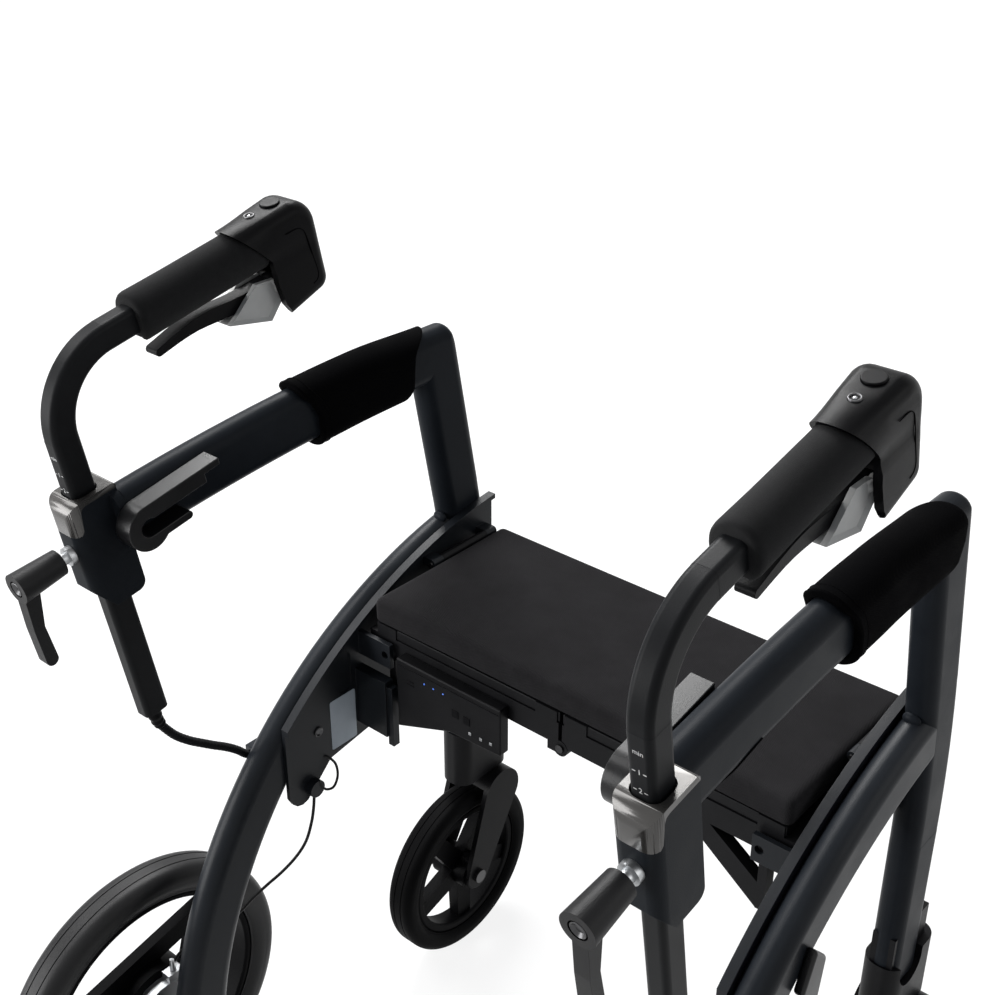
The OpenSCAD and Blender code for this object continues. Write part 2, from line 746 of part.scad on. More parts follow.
// Three bars across the rim in a triangle, round a hub
module rear_wheel(s) {
  rim = rear_r - rear_tyre_t;
  hub_in = outer_x + rear_gap - 0.5;
  hub_out = rear_x + rear_tyre_w / 2 - 6;
  color("#141518") placed(s) difference() {
    union() {
      wheel_turn(rear_x, rear_axle) translate([rim - 3.5, 0]) rounded(7, rear_tyre_w - 12, 2.8);
      side_slab(rear_x, 12) translate(rear_axle) rotate(42.75) difference() {
        circle(rim - 2, $fn = 3);
        circle((rim - 2) * 0.64, $fn = 3);
      }
      cross_rod(hub_in, hub_out, rear_axle, rim * 0.38);
    }
    cross_rod(outer_x, outer_x + far, rear_axle, rear_axle_r + run_fit);
  }
}

module rear_tyre(s) color("#1c1d20") placed(s) tyre(rear_x, rear_axle, rear_r, rear_tyre_w, rear_tyre_t);

// Axle with the fixed brake plate and the block that holds the end of the brake cable
module rear_axle_bolt(s) {
  hub_out = rear_x + rear_tyre_w / 2 - 6;
  plate_in = outer_x + rear_gap - 14;
  plate_out = outer_x + rear_gap - 1;
  color("#8f9296") placed(s) {
    cross_rod(inner_x - boss_side - 1, hub_out + 1, rear_axle, rear_axle_r);
    cross_rod(hub_out + 0.5, hub_out + 5, rear_axle, 11);
    cross_rod(inner_x - boss_side - 6, inner_x - boss_side, rear_axle, 10);
    cross_rod(outer_x + boss_side, plate_in + 1, rear_axle, 15);
    cross_rod(plate_in, plate_out, rear_axle, brake_plate_r);
    block([plate_in + 1, brake_end[0] - 9, rear_axle[1] + brake_plate_r - 6],
      [plate_out - 0.5, brake_end[0] + 9, brake_end[1]]);
  }
}

// One half of the folding seat frame; its knuckle at the middle takes the rear or front half of each rail
module seat_frame(s) {
  k0 = s > 0 ? 0.5 : 0;
  post_x = seat_edge_x - 30;
  color("#1e1f22") placed(s) difference() {
    union() {
      for (y = [0, seat_d - seat_rail_d]) {
        block([half_gap, y, rail_low], [seat_edge_x, y + seat_rail_d, rail_top]);
        long_rod(y + k0 * seat_rail_d + slide_fit / 2, y + (k0 + 0.5) * seat_rail_d - slide_fit / 2, 0, centre_z, knuckle_r);
        block([0, y + k0 * seat_rail_d + slide_fit / 2, centre_z - 6],
          [14, y + (k0 + 0.5) * seat_rail_d - slide_fit / 2, rail_low + 1]);
        for (x = [half_gap + 2, seat_edge_x - 34])
          block([x, y, rail_top], [x + 24, y + seat_rail_d, rail_top + seat_lift - slide_fit]);
      }
      block([half_gap, seat_rail_d, rail_low], [half_gap + 12, seat_d - seat_rail_d, rail_top]);
      block([seat_edge_x - 20, seat_rail_d, rail_low], [seat_edge_x, seat_d - seat_rail_d, rail_top]);
      long_rod(hinge_y0 + hinge_ear + slide_fit, hinge_y1 - hinge_ear - slide_fit, hinge_x, hinge_z, hinge_r);
      block([seat_edge_x - 4.5, hinge_y0 + hinge_ear + slide_fit, rail_top - 1],
        [seat_edge_x, hinge_y1 - hinge_ear - slide_fit, hinge_z]);
      // Diagonal brace and its post
      block([post_x, 2, rail_low - 62], [post_x + 8, 14, rail_low]);
      translate([0, 14, 0]) rotate([90, 0, 0]) linear_extrude(12)
        polygon([[post_x + 1, rail_low - 62], [post_x + 1, rail_low - 36], [post_x - 52, rail_low + 1], [post_x - 84, rail_low + 1]]);
    }
    // Room for the other half's knuckle
    for (y = [0, seat_d - seat_rail_d])
      long_rod(y + (0.5 - k0) * seat_rail_d - 1, y + (1 - k0) * seat_rail_d + slide_fit / 2, 0, centre_z, knuckle_r + 1);
    long_rod(-far, far, 0, centre_z, centre_pin_r + (s > 0 ? run_fit : 0));
    long_rod(-1, far, hinge_x, hinge_z, hinge_pin_r + run_fit);
  }
}

// Cushion half: sections from the middle to the edge, each a rounded box with a crown on top
cush_r = 8;
cush_low_r = 4;
cush_cols = [for (x = [0.15, 30, 60, 90, 120, 150, 175, 195, 208]) x * seat_w / 450,
  for (k = [0:5]) seat_w / 2 - cush_r + cush_r * sin(18 * k)];

function cush_inset(x) = cush_r - sqrt(max(0, pow(cush_r, 2) - pow(max(0, x - (seat_w / 2 - cush_r)), 2)));

function cush_section(x) = let(
    e = cush_inset(x),
    pull = cushion_pull * (1 - pow(2 * x / seat_w, 2)),
    b = seat_d / 2 - e - pull,
    low = seat_h - cushion_t + min(e, cush_low_r),
    high = seat_h - cushion_crown * 0.4 - e,
    rise = cushion_crown * (1 - pow(2 * x / seat_w, 4)),
    r = max(0.6, cush_r - e),
    q = max(0.5, cush_low_r - e),
    top = [for (k = [1:9]) let(y = (b - r) * (1 - k / 5)) [y, high + rise * (1 - pow(y / b, 2))]],
    right = [for (a = [0:22.5:90]) [b - r + r * cos(a), high - r + r * sin(a)]],
    left = [for (a = [90:22.5:180]) [-b + r + r * cos(a), high - r + r * sin(a)]],
    under = [for (a = [180:30:270]) [-b + q + q * cos(a), low + q + q * sin(a)]],
    under2 = [for (a = [270:30:360]) [b - q + q * cos(a), low + q + q * sin(a)]]
  ) [for (p = concat(right, top, left, under, under2)) [x, p[0] + seat_d / 2, p[1]]];

module seat_cushion(s) {
  rings = [for (x = cush_cols) cush_section(x)];
  n = len(rings[0]);
  m = len(rings);
  mid = [for (i = [0, m - 1]) [cush_cols[i], seat_d / 2, seat_h - cushion_t / 2]];
  points = concat([for (r = rings, p = r) p], mid);
  sides = [for (i = [0:m - 2], k = [0:n - 1]) let(a = i * n + k, b = i * n + (k + 1) % n)
    each [[a, b, b + n], [a, b + n, a + n]]];
  ends = [for (k = [0:n - 1]) each [[m * n, (k + 1) % n, k],
    [m * n + 1, (m - 1) * n + k, (m - 1) * n + (k + 1) % n]]];
  color("#18191b") placed(s) polyhedron(points, concat(sides, ends));
}

module control_box() {
  left = box_gap + 47 - plate_x;
  box_w = -box_in - left;
  color("#1b1c1f") placed(1) rotate([90, 0, 0]) linear_extrude(box_d)
    polygon([[left, rail_low + 15], [-box_in, rail_low + 15], [-box_in, rail_low - 35],
      [left + box_w * 0.52, rail_low - 38], [left, rail_low - 63]]);
}

module hinge_pin(s) color("silver") placed(s) long_rod(hinge_y0 - 2, hinge_y1 + 2, hinge_x, hinge_z, hinge_pin_r);

module centre_hinge_pin() color("silver") placed(1) long_rod(-1.5, seat_d + 1.5, 0, centre_z, centre_pin_r);

// Cables: a round tube swept along hand-chosen points
function sub_dir(p, i) = let(a = p[max(0, i - 1)], b = p[min(len(p) - 1, i + 1)]) (b - a) / norm(b - a);

module cable(p, r, sides) {
  n = sides;
  rings = [for (i = [0:len(p) - 1]) let(
    d = sub_dir(p, i),
    u = cross(d, [1, 0, 0.01]) / norm(cross(d, [1, 0, 0.01])),
    v = cross(d, u)) for (k = [0:n - 1]) p[i] + r * (cos(360 * k / n) * u + sin(360 * k / n) * v)];
  m = len(p);
  body = [for (i = [0:m - 2], k = [0:n - 1]) let(a = i * n + k, b = i * n + (k + 1) % n)
    each [[a, b + n, b], [a, a + n, b + n]]];
  caps = [for (k = [1:n - 2]) each [[0, k, k + 1], [(m - 1) * n, (m - 1) * n + k + 1, (m - 1) * n + k]]];
  polyhedron(rings, concat(body, caps));
}

// Points from a to b, given as shares of the way in X, Y and Z
function way(a, b, shares) = [for (f = shares) [for (i = [0:2]) a[i] + f[i] * (b[i] - a[i])]];

post_end = post - post_low * post_dir;
handle_cable_r = 3.5;
handle_cable_points = way([handle_x, post_end[0], post_end[1]], [outer_x + 6, grommet_y - 7.02, grommet_z], [
  [0, 0, 0.005], [0, 0.021, 0.104], [0, 0.044, 0.225], [0, 0.072, 0.347], [0.04, 0.111, 0.46],
  [0.12, 0.169, 0.564], [0.25, 0.251, 0.655], [0.4, 0.357, 0.729], [0.56, 0.483, 0.789], [0.72, 0.618, 0.846],
  [0.87, 0.753, 0.906], [0.96, 0.84, 0.954], [1, 0.91, 0.988], [1, 0.955, 1], [1, 1, 1]]);

module handle_cable(s) color("#101113") placed(s) cable(handle_cable_points, handle_cable_r, 10);

brake_cable_r = 1.5;
brake_cable_points = way([plate_x - 4, -80, seat_h - 193],
  [outer_x + rear_gap - 8, brake_end[0], brake_end[1] + 0.02], [
  [0, 0, 0], [0, 0.014, 0.081], [0, 0.043, 0.181], [0.032, 0.093, 0.306], [0.096, 0.171, 0.4],
  [0.192, 0.271, 0.481], [0.304, 0.371, 0.55], [0.416, 0.464, 0.625], [0.528, 0.543, 0.706],
  [0.688, 0.629, 0.775], [0.832, 0.721, 0.831], [0.944, 0.821, 0.875], [1, 0.914, 0.906], [1, 0.979, 0.936],
  [1, 1, 0.966], [1, 1, 1]]);

module brake_cable(s) color("#101113") placed(s) cable(brake_cable_points, brake_cable_r, 8);

side_rail(-1);  // left_side_rail
side_rail(1);  // right_side_rail
front_upright(-1);  // left_front_upright
front_upright(1);  // right_front_upright
arm_tube(-1);  // left_arm_tube
arm_tube(1);  // right_arm_tube
side_plate(-1);  // left_side_plate
side_plate(1);  // right_side_plate
handle_clamp(-1);  // left_handle_clamp
handle_clamp(1);  // right_handle_clamp
clamp_cap(-1);  // left_clamp_cap
clamp_cap(1);  // right_clamp_cap
clamp_stud(-1);  // left_clamp_stud
clamp_stud(1);  // right_clamp_stud
clamp_lever(-1);  // left_clamp_lever
clamp_lever(1);  // right_clamp_lever
handle_tube(-1);  // left_handle_tube
handle_tube(1);  // right_handle_tube
hand_grip(-1);  // left_hand_grip
hand_grip(1);  // right_hand_grip
handle_housing(-1);  // left_handle_housing
handle_housing(1);  // right_handle_housing
brake_lever(-1);  // left_brake_lever
brake_lever(1);  // right_brake_lever
parking_catch(-1);  // left_parking_catch
parking_catch(1);  // right_parking_catch
housing_button(-1);  // left_housing_button
housing_button(1);  // right_housing_button
arm_pad(-1);  // left_arm_pad
arm_pad(1);  // right_arm_pad
arm_clip(-1);  // left_arm_clip
arm_clip(1);  // right_arm_clip
caster_head(-1);  // left_caster_head
caster_head(1);  // right_caster_head
caster_fork(-1);  // left_caster_fork
caster_fork(1);  // right_caster_fork
front_wheel(-1);  // left_front_wheel
front_wheel(1);  // right_front_wheel
front_tyre(-1);  // left_front_tyre
front_tyre(1);  // right_front_tyre
front_axle_bolt(-1);  // left_front_axle
front_axle_bolt(1);  // right_front_axle
rear_wheel(-1);  // left_rear_wheel
rear_wheel(1);  // right_rear_wheel
rear_tyre(-1);  // left_rear_tyre
rear_tyre(1);  // right_rear_tyre
rear_axle_bolt(-1);  // left_rear_axle
rear_axle_bolt(1);  // right_rear_axle
seat_frame(-1);  // left_seat_frame
seat_frame(1);  // right_seat_frame
seat_cushion(-1);  // left_seat_cushion
seat_cushion(1);  // right_seat_cushion
control_box();
hinge_pin(-1);  // left_hinge_pin
hinge_pin(1);  // right_hinge_pin
centre_hinge_pin();
handle_cable(-1);  // left_handle_cable
handle_cable(1);  // right_handle_cable
brake_cable(-1);  // left_brake_cable
brake_cable(1);  // right_brake_cable
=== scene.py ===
import bpy
import bmesh
import json
import math
from mathutils import Matrix, Vector
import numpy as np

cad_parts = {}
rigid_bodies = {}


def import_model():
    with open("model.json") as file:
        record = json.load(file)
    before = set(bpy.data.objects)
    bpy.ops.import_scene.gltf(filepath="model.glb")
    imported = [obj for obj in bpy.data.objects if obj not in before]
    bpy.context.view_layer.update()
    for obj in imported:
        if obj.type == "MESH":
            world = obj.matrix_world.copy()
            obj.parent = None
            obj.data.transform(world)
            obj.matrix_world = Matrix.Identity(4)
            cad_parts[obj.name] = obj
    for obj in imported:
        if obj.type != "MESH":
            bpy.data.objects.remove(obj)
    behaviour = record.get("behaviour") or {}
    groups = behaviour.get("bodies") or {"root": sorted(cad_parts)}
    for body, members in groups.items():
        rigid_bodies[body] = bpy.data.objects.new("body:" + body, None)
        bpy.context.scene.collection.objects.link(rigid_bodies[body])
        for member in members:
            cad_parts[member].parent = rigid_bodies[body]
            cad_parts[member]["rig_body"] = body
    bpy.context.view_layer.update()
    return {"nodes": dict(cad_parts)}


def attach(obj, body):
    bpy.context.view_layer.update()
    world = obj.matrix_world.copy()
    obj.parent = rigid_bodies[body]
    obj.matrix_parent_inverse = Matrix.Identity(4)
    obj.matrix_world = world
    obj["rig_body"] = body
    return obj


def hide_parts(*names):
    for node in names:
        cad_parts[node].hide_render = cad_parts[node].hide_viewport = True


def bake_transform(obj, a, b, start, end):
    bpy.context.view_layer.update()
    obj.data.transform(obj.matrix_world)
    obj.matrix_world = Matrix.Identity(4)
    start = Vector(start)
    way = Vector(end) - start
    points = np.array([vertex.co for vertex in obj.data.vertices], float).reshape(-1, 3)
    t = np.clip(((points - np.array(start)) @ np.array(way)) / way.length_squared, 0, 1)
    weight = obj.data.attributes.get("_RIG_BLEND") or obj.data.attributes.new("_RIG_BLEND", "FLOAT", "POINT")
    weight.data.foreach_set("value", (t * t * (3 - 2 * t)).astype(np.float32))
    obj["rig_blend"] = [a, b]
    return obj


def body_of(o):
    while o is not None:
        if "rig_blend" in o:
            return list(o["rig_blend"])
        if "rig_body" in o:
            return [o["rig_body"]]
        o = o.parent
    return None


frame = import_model()

# Camera and studio
# The view is from behind the walker's right shoulder, looking down on the seat.
# The chair stands on white paper in soft light, with the brightest lamp high ahead on the left.
CAMERA_PLACE = (0.6254, -0.7374, 1.2790)
CAMERA_BACK = Vector((0.5768, -0.6670, 0.4716))
LAMPS = (
    ("key lamp", (-1.65, 1.3, 2.9), (0, 0, 0.6), 1.5, 125),
    ("top lamp", (-1.8, -0.7, 2.8), (0, 0, 0.6), 1.7, 64),
    ("fill lamp", (-1.9, -2.4, 0.8), (0, 0, 0.5), 1.8, 95),
    ("rim lamp", (2.6, 1.2, 1.7), (0, 0, 0.6), 1.6, 14),
)
SKY_COLOUR, SKY_STRENGTH = (0.80, 0.84, 0.90, 1), 0.30
WHITE = (1, 1, 1, 1)
PAPER_HALF = 12
PAPER_GREY = (0.55, 0.55, 0.55, 1)
SHADOW_GREY = (0.16, 0.16, 0.16, 1)
PAPER_BRIGHTNESS = {"From Min": 0.6, "From Max": 2.4, "To Min": 0.86, "To Max": 1.0}

camera = bpy.data.objects.new("camera", bpy.data.cameras.new("camera"))
camera.data.lens = 53.05
camera.data.sensor_width = 36
camera.data.clip_end = 50
camera.location = CAMERA_PLACE
camera.rotation_euler = CAMERA_BACK.to_track_quat("Z", "Y").to_euler()
bpy.context.scene.collection.objects.link(camera)
bpy.context.scene.camera = camera
bpy.context.scene.view_settings.view_transform = "Standard"


def looked_at(tree):
    path = tree.nodes.new("ShaderNodeLightPath")
    seen = path.outputs["Is Camera Ray"]
    for way in ("Is Transmission Ray", "Is Glossy Ray"):
        either = tree.nodes.new("ShaderNodeMath")
        either.operation = "MAXIMUM"
        tree.links.new(seen, either.inputs[0])
        tree.links.new(path.outputs[way], either.inputs[1])
        seen = either.outputs[0]
    return seen


def background(tree, colour, strength):
    light = tree.nodes.new("ShaderNodeBackground")
    light.inputs["Color"].default_value = colour
    light.inputs["Strength"].default_value = strength
    return light.outputs[0]


world = bpy.data.worlds.new("studio")
bpy.context.scene.world = world
world.use_nodes = True
tree = world.node_tree
tree.nodes.clear()
choose = tree.nodes.new("ShaderNodeMixShader")
out = tree.nodes.new("ShaderNodeOutputWorld")
tree.links.new(looked_at(tree), choose.inputs[0])
tree.links.new(background(tree, SKY_COLOUR, SKY_STRENGTH), choose.inputs[1])
tree.links.new(background(tree, WHITE, 1.0), choose.inputs[2])
tree.links.new(choose.outputs[0], out.inputs["Surface"])

for name, place, aim, size, power in LAMPS:
    lamp = bpy.data.objects.new(name, bpy.data.lights.new(name, "AREA"))
    lamp.data.size = size
    lamp.data.energy = power
    lamp.location = place
    lamp.rotation_euler = (Vector(place) - Vector(aim)).to_track_quat("Z", "Y").to_euler()
    bpy.context.scene.collection.objects.link(lamp)

bm = bmesh.new()
bmesh.ops.create_grid(bm, x_segments=1, y_segments=1, size=PAPER_HALF)
floor_mesh = bpy.data.meshes.new("floor")
bm.to_mesh(floor_mesh)
bm.free()
floor = bpy.data.objects.new("floor", floor_mesh)
bpy.context.scene.collection.objects.link(floor)
paper = bpy.data.materials.new("floor paper")
paper.use_nodes = True
tree = paper.node_tree
tree.nodes.clear()
matt = tree.nodes.new("ShaderNodeBsdfDiffuse")
matt.inputs["Color"].default_value = PAPER_GREY
shaded = tree.nodes.new("ShaderNodeBsdfDiffuse")
shaded.inputs["Color"].default_value = SHADOW_GREY
bright = tree.nodes.new("ShaderNodeEmission")
spot = tree.nodes.new("ShaderNodeTexCoord")
reach = tree.nodes.new("ShaderNodeVectorMath")
reach.operation = "LENGTH"
rise = tree.nodes.new("ShaderNodeMapRange")
for socket, value in PAPER_BRIGHTNESS.items():
    rise.inputs[socket].default_value = value
both = tree.nodes.new("ShaderNodeAddShader")
choose = tree.nodes.new("ShaderNodeMixShader")
out = tree.nodes.new("ShaderNodeOutputMaterial")
tree.links.new(spot.outputs["Object"], reach.inputs[0])
tree.links.new(reach.outputs["Value"], rise.inputs["Value"])
tree.links.new(rise.outputs["Result"], bright.inputs["Strength"])
tree.links.new(shaded.outputs[0], both.inputs[0])
tree.links.new(bright.outputs[0], both.inputs[1])
tree.links.new(looked_at(tree), choose.inputs[0])
tree.links.new(matt.outputs[0], choose.inputs[1])
tree.links.new(both.outputs[0], choose.inputs[2])
tree.links.new(choose.outputs[0], out.inputs["Surface"])
floor_mesh.materials.append(paper)

# Frame tubes
# The side rails, uprights and arms are flat-oval aluminium tubes, bent, mitred and welded. The corner
# of arm and upright is ground round. They are powder coated in a satin anthracite, glossier on the rails.
nodes = frame["nodes"]
SIDES = (("left", True), ("right", False))
WELD_DISTANCE = 0.00002
FLAT_ANGLE = math.radians(0.5)
SHARP_ANGLE = math.radians(35)
skin = bpy.data.node_groups.new("surface skin", "ShaderNodeTree")
for title, way in (("Grain Scale", "INPUT"), ("Patch Scale", "INPUT"),
                   ("Height", "OUTPUT"), ("Patch", "OUTPUT")):
    skin.interface.new_socket(title, in_out=way, socket_type="NodeSocketFloat")
inlet = skin.nodes.new("NodeGroupInput")
outlet = skin.nodes.new("NodeGroupOutput")
place = skin.nodes.new("ShaderNodeTexCoord")
grain = skin.nodes.new("ShaderNodeTexNoise")
grain.inputs["Detail"].default_value = 3
patch = skin.nodes.new("ShaderNodeTexNoise")
patch.inputs["Detail"].default_value = 4
patch.inputs["Roughness"].default_value = 0.62
spread = skin.nodes.new("ShaderNodeMapRange")
spread.inputs["From Min"].default_value = 0.35
spread.inputs["From Max"].default_value = 0.65
for texture, size in ((grain, "Grain Scale"), (patch, "Patch Scale")):
    skin.links.new(place.outputs["Object"], texture.inputs["Vector"])
    skin.links.new(inlet.outputs[size], texture.inputs["Scale"])
skin.links.new(grain.outputs["Fac"], outlet.inputs["Height"])
skin.links.new(patch.outputs["Fac"], spread.inputs["Value"])
skin.links.new(spread.outputs["Result"], outlet.inputs["Patch"])


def coated(name, deep, pale, rough, grain_scale, depth,
           patch_scale=14, metallic=0.0, gleam=0.06, sheen=0.0):
    finish = bpy.data.materials.new(name)
    finish.use_nodes = True
    tree = finish.node_tree
    shader = tree.nodes["Principled BSDF"]
    shader.inputs["Metallic"].default_value = metallic
    shader.inputs["Specular IOR Level"].default_value = gleam
    shader.inputs["Sheen Weight"].default_value = sheen
    shader.inputs["Sheen Roughness"].default_value = 0.5
    group = tree.nodes.new("ShaderNodeGroup")
    group.node_tree = skin
    group.inputs["Grain Scale"].default_value = grain_scale
    group.inputs["Patch Scale"].default_value = patch_scale
    tint = tree.nodes.new("ShaderNodeMix")
    tint.data_type = "RGBA"
    tint.inputs["A"].default_value = (*deep, 1)
    tint.inputs["B"].default_value = (*pale, 1)
    gloss = tree.nodes.new("ShaderNodeMapRange")
    gloss.inputs["To Min"].default_value = rough[0]
    gloss.inputs["To Max"].default_value = rough[1]
    bump = tree.nodes.new("ShaderNodeBump")
    bump.inputs["Strength"].default_value = 0.6
    bump.inputs["Distance"].default_value = depth
    tree.links.new(group.outputs["Patch"], tint.inputs["Factor"])
    tree.links.new(tint.outputs["Result"], shader.inputs["Base Color"])
    tree.links.new(group.outputs["Patch"], gloss.inputs["Value"])
    tree.links.new(gloss.outputs["Result"], shader.inputs["Roughness"])
    tree.links.new(group.outputs["Height"], bump.inputs["Height"])
    tree.links.new(bump.outputs["Normal"], shader.inputs["Normal"])
    return finish


def settle(name, bm, body, finish, stands_for=(), mirrored=False, angle=32, weighted=True):
    if mirrored:
        bmesh.ops.scale(bm, vec=(-1, 1, 1), verts=bm.verts)
        bmesh.ops.reverse_faces(bm, faces=bm.faces)
    mesh = bpy.data.meshes.new(name)
    bm.to_mesh(mesh)
    bm.free()
    mesh.shade_smooth()
    mesh.set_sharp_from_angle(angle=math.radians(angle))
    mesh.materials.append(finish)
    piece = bpy.data.objects.new(name, mesh)
    bpy.context.scene.collection.objects.link(piece)
    if weighted:
        even = piece.modifiers.new("even shading", "WEIGHTED_NORMAL")
        even.keep_sharp = True
    if body:
        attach(piece, body)
    if stands_for:
        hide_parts(*stands_for)
    return piece


def round_edges(bm, edges, width, segments):
    bmesh.ops.bevel(bm, geom=edges, offset=width, offset_type="OFFSET", segments=segments, profile=0.5,
                    affect="EDGES", material=-1, clamp_overlap=True)


def cut_across(bm, where, facing, clear=False):
    bmesh.ops.bisect_plane(bm, geom=list(bm.verts) + list(bm.edges) + list(bm.faces),
                           plane_co=where, plane_no=facing, clear_outer=clear)


def rounded_copy(node, width, finish, segments=2, reshape=None):
    bm = bmesh.new()
    bm.from_mesh(nodes[node].data)
    bmesh.ops.remove_doubles(bm, verts=bm.verts, dist=WELD_DISTANCE)
    if width:
        bmesh.ops.dissolve_limit(bm, angle_limit=FLAT_ANGLE, verts=bm.verts, edges=bm.edges)
    if reshape:
        reshape(bm)
    if width:
        sharp = [e for e in bm.edges if len(e.link_faces) == 2 and e.calc_face_angle() > SHARP_ANGLE]
        round_edges(bm, sharp, width, segments)
    return settle(f"{node}_moulding", bm, body_of(nodes[node])[0], finish, (node,))


CORNER = Vector((0, 0.2124, 0.7757))
ARM_RUN = Vector((0, -0.014, 0))
UPRIGHT_RUN = Vector((0, 0.0064, -0.0334))
MITRE = Vector((0, -0.6374, -0.7705))
MITRE_FACING = MITRE.cross(Vector((1, 0, 0)))
CROWN = 0.0146
CORNER_RINGS = 6


def across(a, b):
    return a.y * b.z - a.z * b.y


def rounded_corner(own_run, other_run):
    def draw_round(bm):
        for ring in range(1, CORNER_RINGS + 1):
            cut_across(bm, CORNER + own_run * ring / CORNER_RINGS, MITRE_FACING)
        for v in bm.verts:
            off = v.co - CORNER
            along = max(0, across(off, MITRE) / across(own_run, MITRE))
            depth = across(off, own_run) / across(MITRE, own_run)
            share = 1 - max(0, depth) / CROWN
            if share > 0 and along < share:
                turn = 0.5 * (1 - along / share)
                v.co += own_run * (share * (1 - turn) ** 2 - along) + other_run * share * turn ** 2

    return draw_round


FRAME_DEEP, FRAME_PALE = (0.0084, 0.0100, 0.0126), (0.0112, 0.0132, 0.0164)
FRAME_ROUGH = (0.32, 0.42)
anthracite = coated("anthracite powder coat", FRAME_DEEP, FRAME_PALE, FRAME_ROUGH, 900, 0.00012, gleam=0.035)
rail_coat = coated("rail powder coat", FRAME_DEEP, FRAME_PALE, FRAME_ROUGH, 900, 0.00012, gleam=0.10)
for side, mirrored in SIDES:
    rounded_copy(f"{side}_side_rail", 0, rail_coat)
    rounded_copy(f"{side}_arm_tube", 0, anthracite,
                 reshape=rounded_corner(ARM_RUN, UPRIGHT_RUN))
    rounded_copy(f"{side}_front_upright", 0, anthracite,
                 reshape=rounded_corner(UPRIGHT_RUN, ARM_RUN))

# Weld beads
# Each rail is welded to the rear of its upright with a small bead, ground back by hand, that shows as a
# rounded step under the paint. New pieces are drawn in millimetres from the seat's rear edge, on the right.
FROM_MM = Matrix.Translation((0, 0.069, 0)) @ Matrix.Scale(0.001, 4)
TUBE_MIDDLE = 258
BEAD_RADIUS, BEAD_STRETCH = 4, (2.0, 1.0, 1.5)
BEAD_PLACE = (TUBE_MIDDLE - 2, 126, 572)
for side, mirrored in SIDES:
    bm = bmesh.new()
    bmesh.ops.create_uvsphere(bm, u_segments=20, v_segments=12, radius=BEAD_RADIUS)
    bmesh.ops.scale(bm, vec=BEAD_STRETCH, verts=bm.verts)
    bmesh.ops.translate(bm, vec=BEAD_PLACE, verts=bm.verts)
    bm.transform(FROM_MM)
    settle(f"{side}_weld_bead", bm, f"{side}_frame", anthracite, mirrored=mirrored)

# Handle clamps
# Cast aluminium bodies, fixed to the rear ends of the arms, in which the handle posts slide.
# They are painted like the frame, a little duller, and their edges are rounded by the mould.
CLAMP_ROUNDING = 0.003
cast_paint = coated("painted casting", (0.0086, 0.0103, 0.0128), (0.0112, 0.0132, 0.0162),
                    (0.38, 0.48), 1100, 0.0002, gleam=0.035)
for side, mirrored in SIDES:
    rounded_copy(f"{side}_handle_clamp", CLAMP_ROUNDING, cast_paint, 4)

# Clamp caps
# Glossy black-nickel caps that close the top of each clamp around the post,
# with a skirt that hangs down the clamp's rounded rear side.
cap_gloss = coated("polished black nickel", (0.040, 0.038, 0.036), (0.055, 0.052, 0.049),
                   (0.18, 0.26), 1600, 0.00003, metallic=0.5, gleam=0.8)
for side, mirrored in SIDES:
    rounded_copy(f"{side}_clamp_cap", 0, cap_gloss)

# Clamp levers and studs
# Moulded nylon cranked levers on zinc-plated studs; turning one presses the stud on the post.
# A blackened socket screw sits in the end of each hub.
LEVER_ROUNDING = 0.0018
POST_MIDDLE = 270
POST_AXIS = Matrix.Translation((POST_MIDDLE, -262, 750)) @ Matrix.Rotation(math.radians(9.7), 4, "X")
FACING_REAR = Matrix.Rotation(math.radians(90), 4, "X")
HUB_END = (0, -73, -45)
HUB_SCREW_RADIUS, HUB_SCREW_DEPTH = 6.2, 4
lever_nylon = coated("lever nylon", (0.0045, 0.0045, 0.0050), (0.0070, 0.0070, 0.0077),
                     (0.38, 0.48), 1600, 0.00022, gleam=0.14)
zinc = coated("bright zinc", (0.34, 0.35, 0.36), (0.46, 0.47, 0.48),
              (0.30, 0.42), 1800, 0.00006, metallic=1.0)
screw_black = coated("blackened screw", (0.05, 0.05, 0.052), (0.08, 0.08, 0.082),
                     (0.25, 0.35), 1500, 0.00004, metallic=1.0)


def dress(node, finish):
    nodes[node].data.materials.clear()
    nodes[node].data.materials.append(finish)


def socket_screw(radius, depth):
    bm = bmesh.new()
    bmesh.ops.create_cone(bm, cap_ends=True, segments=32, radius1=radius, radius2=radius, depth=depth)
    face = max(bm.faces, key=lambda f: f.calc_center_median().z)
    round_edges(bm, list(face.edges), radius * 0.14, 2)
    face = max(bm.faces, key=lambda f: (round(f.calc_center_median().z, 4), f.calc_area()))
    bmesh.ops.inset_region(bm, faces=[face], thickness=radius * 0.34)
    bmesh.ops.translate(bm, vec=(0, 0, -depth * 0.5), verts=face.verts)
    bmesh.ops.inset_region(bm, faces=[face], thickness=radius * 0.02)
    return bm


for side, mirrored in SIDES:
    rounded_copy(f"{side}_clamp_lever", LEVER_ROUNDING, lever_nylon, 3)
    dress(f"{side}_clamp_stud", zinc)
    bm = socket_screw(HUB_SCREW_RADIUS, HUB_SCREW_DEPTH)
    bm.transform(FROM_MM @ POST_AXIS @ Matrix.Translation(HUB_END) @ FACING_REAR)
    settle(f"{side}_lever_screw", bm, f"{side}_clamp_handle", screw_black, mirrored=mirrored)

# Handle posts
# Rectangular steel tubes with rounded corners, bent over at the top, that slide in the clamps.
# Their black powder coat is satin and shows the flat faces.
post_coat = coated("post powder coat", (0.0062, 0.0065, 0.0072), (0.0086, 0.0090, 0.0100),
                   (0.34, 0.44), 1000, 0.0001, gleam=0.06)
for side, mirrored in SIDES:
    rounded_copy(f"{side}_handle_tube", 0, post_coat)

